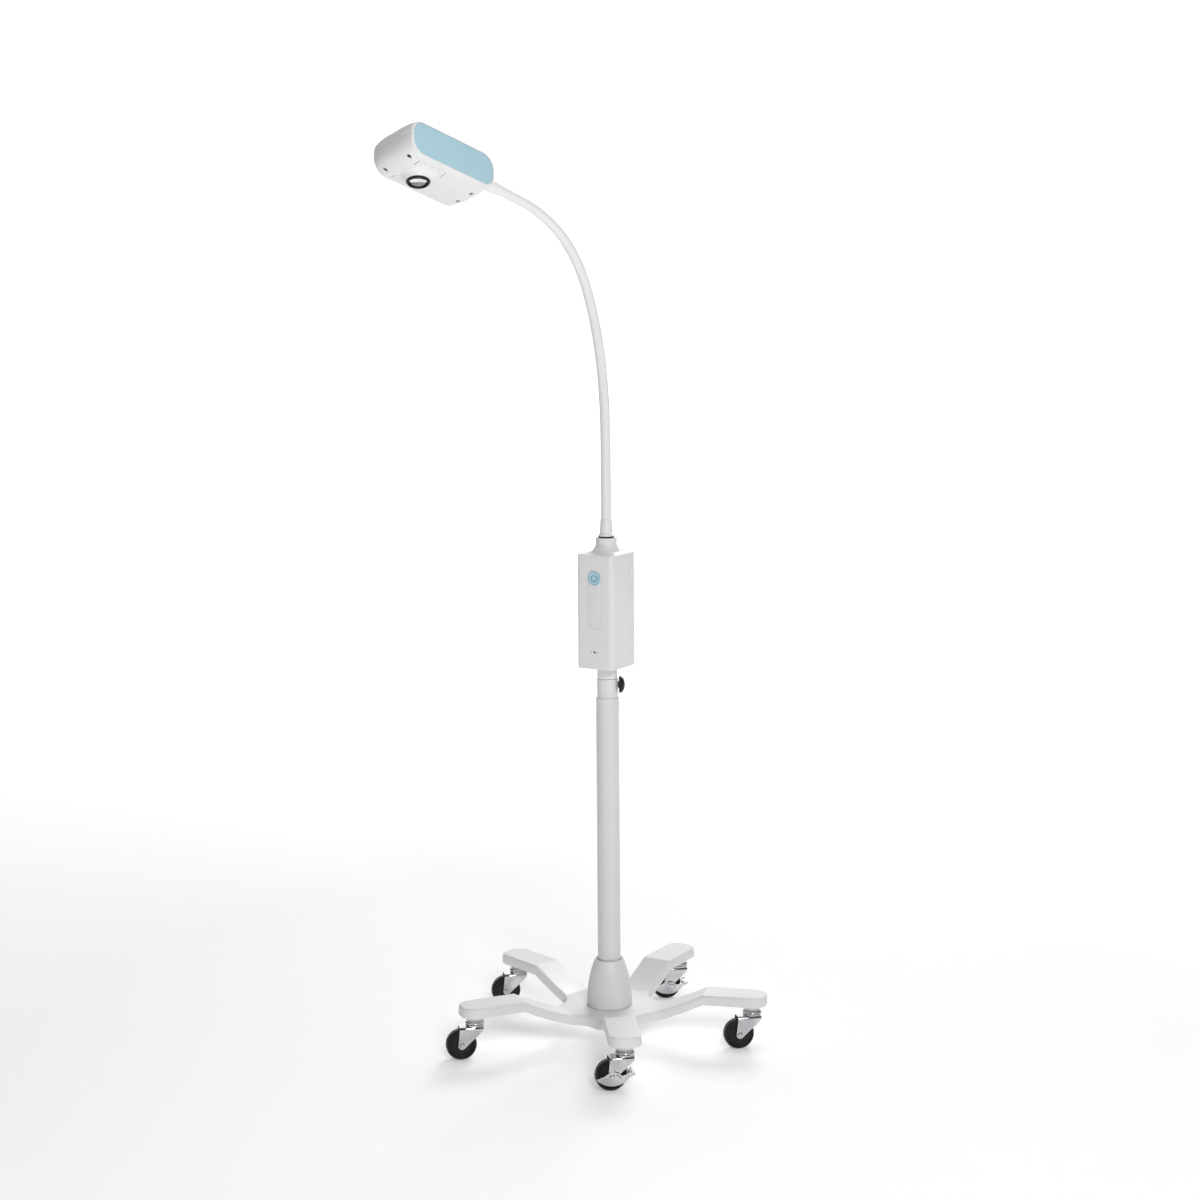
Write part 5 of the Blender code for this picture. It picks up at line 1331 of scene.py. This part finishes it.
    def build_shells(self) -> None:
        """Lower and upper shell, parted at the middle, with slots and dots cut below."""
        outer, lining = self.body(0.0), self.body(self.wall)
        entry = slab(circle(0.0122, 64), -0.11, -0.072, 0.0).moved(
            Matrix.Translation((0.0, 0.0, 0.0102)) @ Matrix.Rotation(QUARTER, 4, "Y"))
        upper = make_shell("shell_upper", outer, lining, (0.0, 0.0, self.parting + 0.0002), (0.0, 0.0, -1.0),
                           self.axes)
        carve(upper, entry.moved(self.axes), SHELL_SHARP)
        fit(upper, HOUSING, "head", "head_upper")
        lower = make_shell("shell_lower", outer, lining, (0.0, 0.0, self.parting - 0.0002), (0.0, 0.0, 1.0),
                           self.axes)
        combine(lower, self.boss().moved(self.axes), "UNION")
        seat = self.bezel_radius + 0.0002
        tools = entry + turned([(0.0, -0.060), (seat, -0.060), (seat, -0.020), (0.0, -0.020)], 96).moved(
            Matrix.Translation((self.lens_x, 0.0, 0.0)))
        cuts = [(x, y, floor, circle(0.0034, 40)) for x, y, floor in self.screw_places()]
        for y in (-0.0260, 0.0260):
            cuts += [(x, y, -0.0268, stadium(0.00075, 0.0062, 8)) for x in (0.0072, 0.0586)]
        for y in (-0.0312, 0.0312):
            cuts += [(x, y, -0.0262, circle(0.0011, 20)) for x in (0.0215, 0.0333, 0.0458)]
        for x, y, floor, shape in cuts:
            tools += slab(shape, -0.0440, floor, 0.0).moved(Matrix.Translation((x, y, 0.0)))
        carve(lower, tools.moved(self.axes), SHELL_SHARP)
        fit(lower, HOUSING, "head", "head_lower")
        for number, (x, y, floor) in enumerate(self.screw_places(), 1):
            place = self.axes @ Matrix.Translation((x, y, floor - 0.0008)) @ Matrix.Rotation(math.pi, 4, "X")
            fit(make(f"shell_screw_{number}", screw_head(0.0026), place), STEEL, "head")

    def screw_places(self) -> list[tuple[float, float, float]]:
        """Where the shell's screws sit (x, y and the recess's floor): two in front, two
        nearer each other behind."""
        return [(0.0730, -0.0260, -0.0222), (0.0730, 0.0260, -0.0222), (-0.0600, -0.0147, -0.0262),
                (-0.0600, 0.0147, -0.0262)]

    def build_panels(self) -> None:
        """Two blue side panels, each set into its pocket."""
        points, _ = self.ring(*self.panel)
        outer, inner = self.half_width - 0.0001, self.half_width - self.panel_gauge
        sideways = Matrix.Rotation(QUARTER, 4, "X") @ Matrix.Scale(-1.0, 4, (0.0, 0.0, 1.0))
        plate = slab(points, inner, outer, 0.0005).moved(sideways)
        for name, hand in (("near", 1.0), ("far", -1.0)):
            shape = plate.moved(Matrix.Scale(hand, 4, (0.0, 1.0, 0.0)))
            fit(make(f"side_cover_{name}", shape, self.axes), BLUE, "head", f"side_panel_{name}")

    def build_optics(self) -> None:
        """Bezel, lens, reflector, emitter and the hidden board and heat sink."""
        place = self.axes @ Matrix.Translation((self.lens_x, 0.0, 0.0))
        radius, bore = self.bezel_radius, self.bezel_bore
        bezel = eased([(bore, -0.0300), (bore, -0.0436), (bore + 0.0010, -0.0452),
                       (radius - 0.0012, -0.0442), (radius, -0.0424), (radius, -0.0300)],
                      [0.0, 0.0006, 0.0008, 0.0010, 0.0010, 0.0], closed=True)
        fit(make("lens_ring", turned(bezel, 96), place), BLACK, "head", "lens_bezel")
        turn = np.linspace(0.0, QUARTER, 14)
        dome = np.stack((0.0136 * np.sin(turn), -0.0400 - 0.0062 * np.cos(turn)), -1)
        lens = np.vstack((dome, [(0.0137, -0.0382), (0.0100, -0.0380), (0.0, -0.0380)]))
        fit(make("lens_dome", turned(lens, 96), place), GLASS, "head", "lens")
        sweep = np.linspace(0.0, 1.0, 16)
        inner = np.stack((0.0036 + 0.0096 * np.sqrt(sweep), -0.0152 - 0.0216 * sweep), -1)
        outer = inner[::-1] + np.array((0.0008, 0.0006))
        fit(make("reflector_bowl", turned(np.vstack((inner, outer)), 96), place), CHROME, "head", "reflector")
        chip = slab(rounded_rectangle(-0.0024, 0.0024, -0.0024, 0.0024, 0.0003), -0.0146, -0.0131, 0.0002)
        fit(make("emitter_chip", chip, place), EMITTER, "head")
        dress(BOARD, "led_board")
        dress(BARE, "heat_sink")

    def build(self) -> None:
        """Make the head."""
        self.build_shells()
        self.build_panels()
        self.build_optics()


# --------------------------------------------------------------------- studio
@dataclass
class Studio:
    """White sweep, soft lights and the camera."""

    eye: Vector = Vector((1.860, -3.160, 1.305))
    look: Vector = Vector((-0.5040, 0.8504, -0.1510))
    up: Vector = Vector((-0.0705, 0.1339, 0.9890))
    lens: float = 68.0
    near: float = 6.0
    bend: float = 3.0
    half_span: float = 9.0
    glow: tuple[float, float] = (0.25, 1.0)
    glow_reach: tuple[float, float] = (1.0, 6.0)
    sky_level: tuple[float, float] = (1.02, 2.04)
    viewer_side: float = 0.72
    aim: Vector = Vector((0.0, 0.0, 0.7))

    def light(self, name: str, place: tuple, size: float, power: float) -> None:
        """A square area light at a place, turned to the middle of the stand."""
        data = bpy.data.lights.new(name, "AREA")
        data.size = size
        data.energy = power
        lamp = bpy.data.objects.new(name, data)
        lamp.location = place
        lamp.rotation_euler = (self.aim - Vector(place)).to_track_quat("-Z", "Y").to_euler()
        bpy.context.scene.collection.objects.link(lamp)

    def sweep(self) -> Skin:
        """Floor that curves up into a wall behind the light: level, then a quarter
        circle, then upright; the same line at every step across."""
        turn = np.linspace(0.0, QUARTER, 33)
        near, wall = self.near, self.near + self.bend
        floor = (-near, -near / 2.0, 0.0, near / 2.0)
        ahead = np.concatenate((floor, near + self.bend * np.sin(turn), (wall,)))
        height = np.concatenate((np.zeros(4), self.bend * (1.0 - np.cos(turn)), (2.5 * self.bend,)))
        across = np.linspace(-self.half_span, self.half_span, 7)
        level = Vector((self.look.x, self.look.y, 0.0)).normalized()
        right = np.array((level.y, -level.x, 0.0))
        place = ahead[:, None, None] * np.array(level) + across[None, :, None] * right
        place[..., 2] = height[:, None]
        return grid(place)

    def sweep_material(self) -> bpy.types.Material:
        """Pale matt white that glows a little more with distance from the middle."""
        made = bpy.data.materials.new("white_sweep")
        made.use_nodes = True
        tree = made.node_tree
        shader = tree.nodes["Principled BSDF"]
        shader.inputs["Base Color"].default_value = (0.92, 0.92, 0.92, 1.0)
        shader.inputs["Roughness"].default_value = 0.8
        shader.inputs["Specular IOR Level"].default_value = 0.0
        shader.inputs["Emission Color"].default_value = (1.0, 1.0, 1.0, 1.0)
        position = tree.nodes.new("ShaderNodeTexCoord").outputs["Object"]
        far = tree.nodes.new("ShaderNodeVectorMath")
        far.operation = "LENGTH"
        tree.links.new(position, far.inputs[0])
        glow = Effects.ramp(tree, far.outputs["Value"], self.glow_reach, self.glow)
        tree.links.new(glow, shader.inputs["Emission Strength"])
        return made

    def sky(self) -> bpy.types.World:
        """Studio surroundings: brightest overhead, dim behind the viewer."""
        world = bpy.data.worlds.new("studio")
        world.use_nodes = True
        tree = world.node_tree
        way = tree.nodes.new("ShaderNodeTexCoord").outputs["Generated"]
        parts = tree.nodes.new("ShaderNodeSeparateXYZ")
        tree.links.new(way, parts.inputs[0])
        up = Effects.ramp(tree, parts.outputs["Z"], (-0.1, 0.9), self.sky_level)
        back = tree.nodes.new("ShaderNodeVectorMath")
        back.operation = "DOT_PRODUCT"
        tree.links.new(way, back.inputs[0])
        back.inputs[1].default_value = tuple(-self.look)
        dim = Effects.ramp(tree, back.outputs["Value"], (0.50, 0.95), (1.0, self.viewer_side))
        tree.links.new(Effects.product(tree, up, dim), tree.nodes["Background"].inputs["Strength"])
        return world

    def build(self) -> None:
        """Make the sweep, the lights and the camera."""
        scene = bpy.context.scene
        scene.view_settings.view_transform = "Standard"
        mesh = bpy.data.meshes.new("floor")
        skin = self.sweep()
        mesh.from_pydata(skin.points, [], skin.faces)
        mesh.shade_smooth()
        mesh.materials.append(self.sweep_material())
        link("floor", mesh)
        scene.world = self.sky()
        self.light("key", (2.4, -2.6, 2.4), 1.2, 76.0)
        self.light("back", (-0.6, 3.0, 2.7), 1.4, 52.0)
        self.light("top", (0.3, 0.4, 3.6), 2.2, 22.0)

        axis = self.look.normalized()
        right = axis.cross(self.up).normalized()
        up = right.cross(axis)
        data = bpy.data.cameras.new("camera")
        data.lens = self.lens
        camera = bpy.data.objects.new("camera", data)
        turn = Matrix((right, up, -axis)).transposed().to_4x4()
        turn.translation = self.eye
        camera.matrix_world = turn
        scene.collection.objects.link(camera)
        scene.camera = camera


def main() -> None:
    """Build the light in order: stage, base, pole, casters, unit, neck, head."""
    logging.basicConfig(level=logging.INFO, format="%(name)s: %(message)s")
    Studio().build()
    BaseStar().build()
    Pole().build()
    braked = {int(name.rsplit("_", 1)[1]) for name in JOINTS if name.startswith("brake_press")}
    for number in range(1, 6):
        Caster(number, number in braked).build()
    PowerUnit().build()
    Gooseneck().build()
    Head().build()


if __name__ == "__main__":
    main()
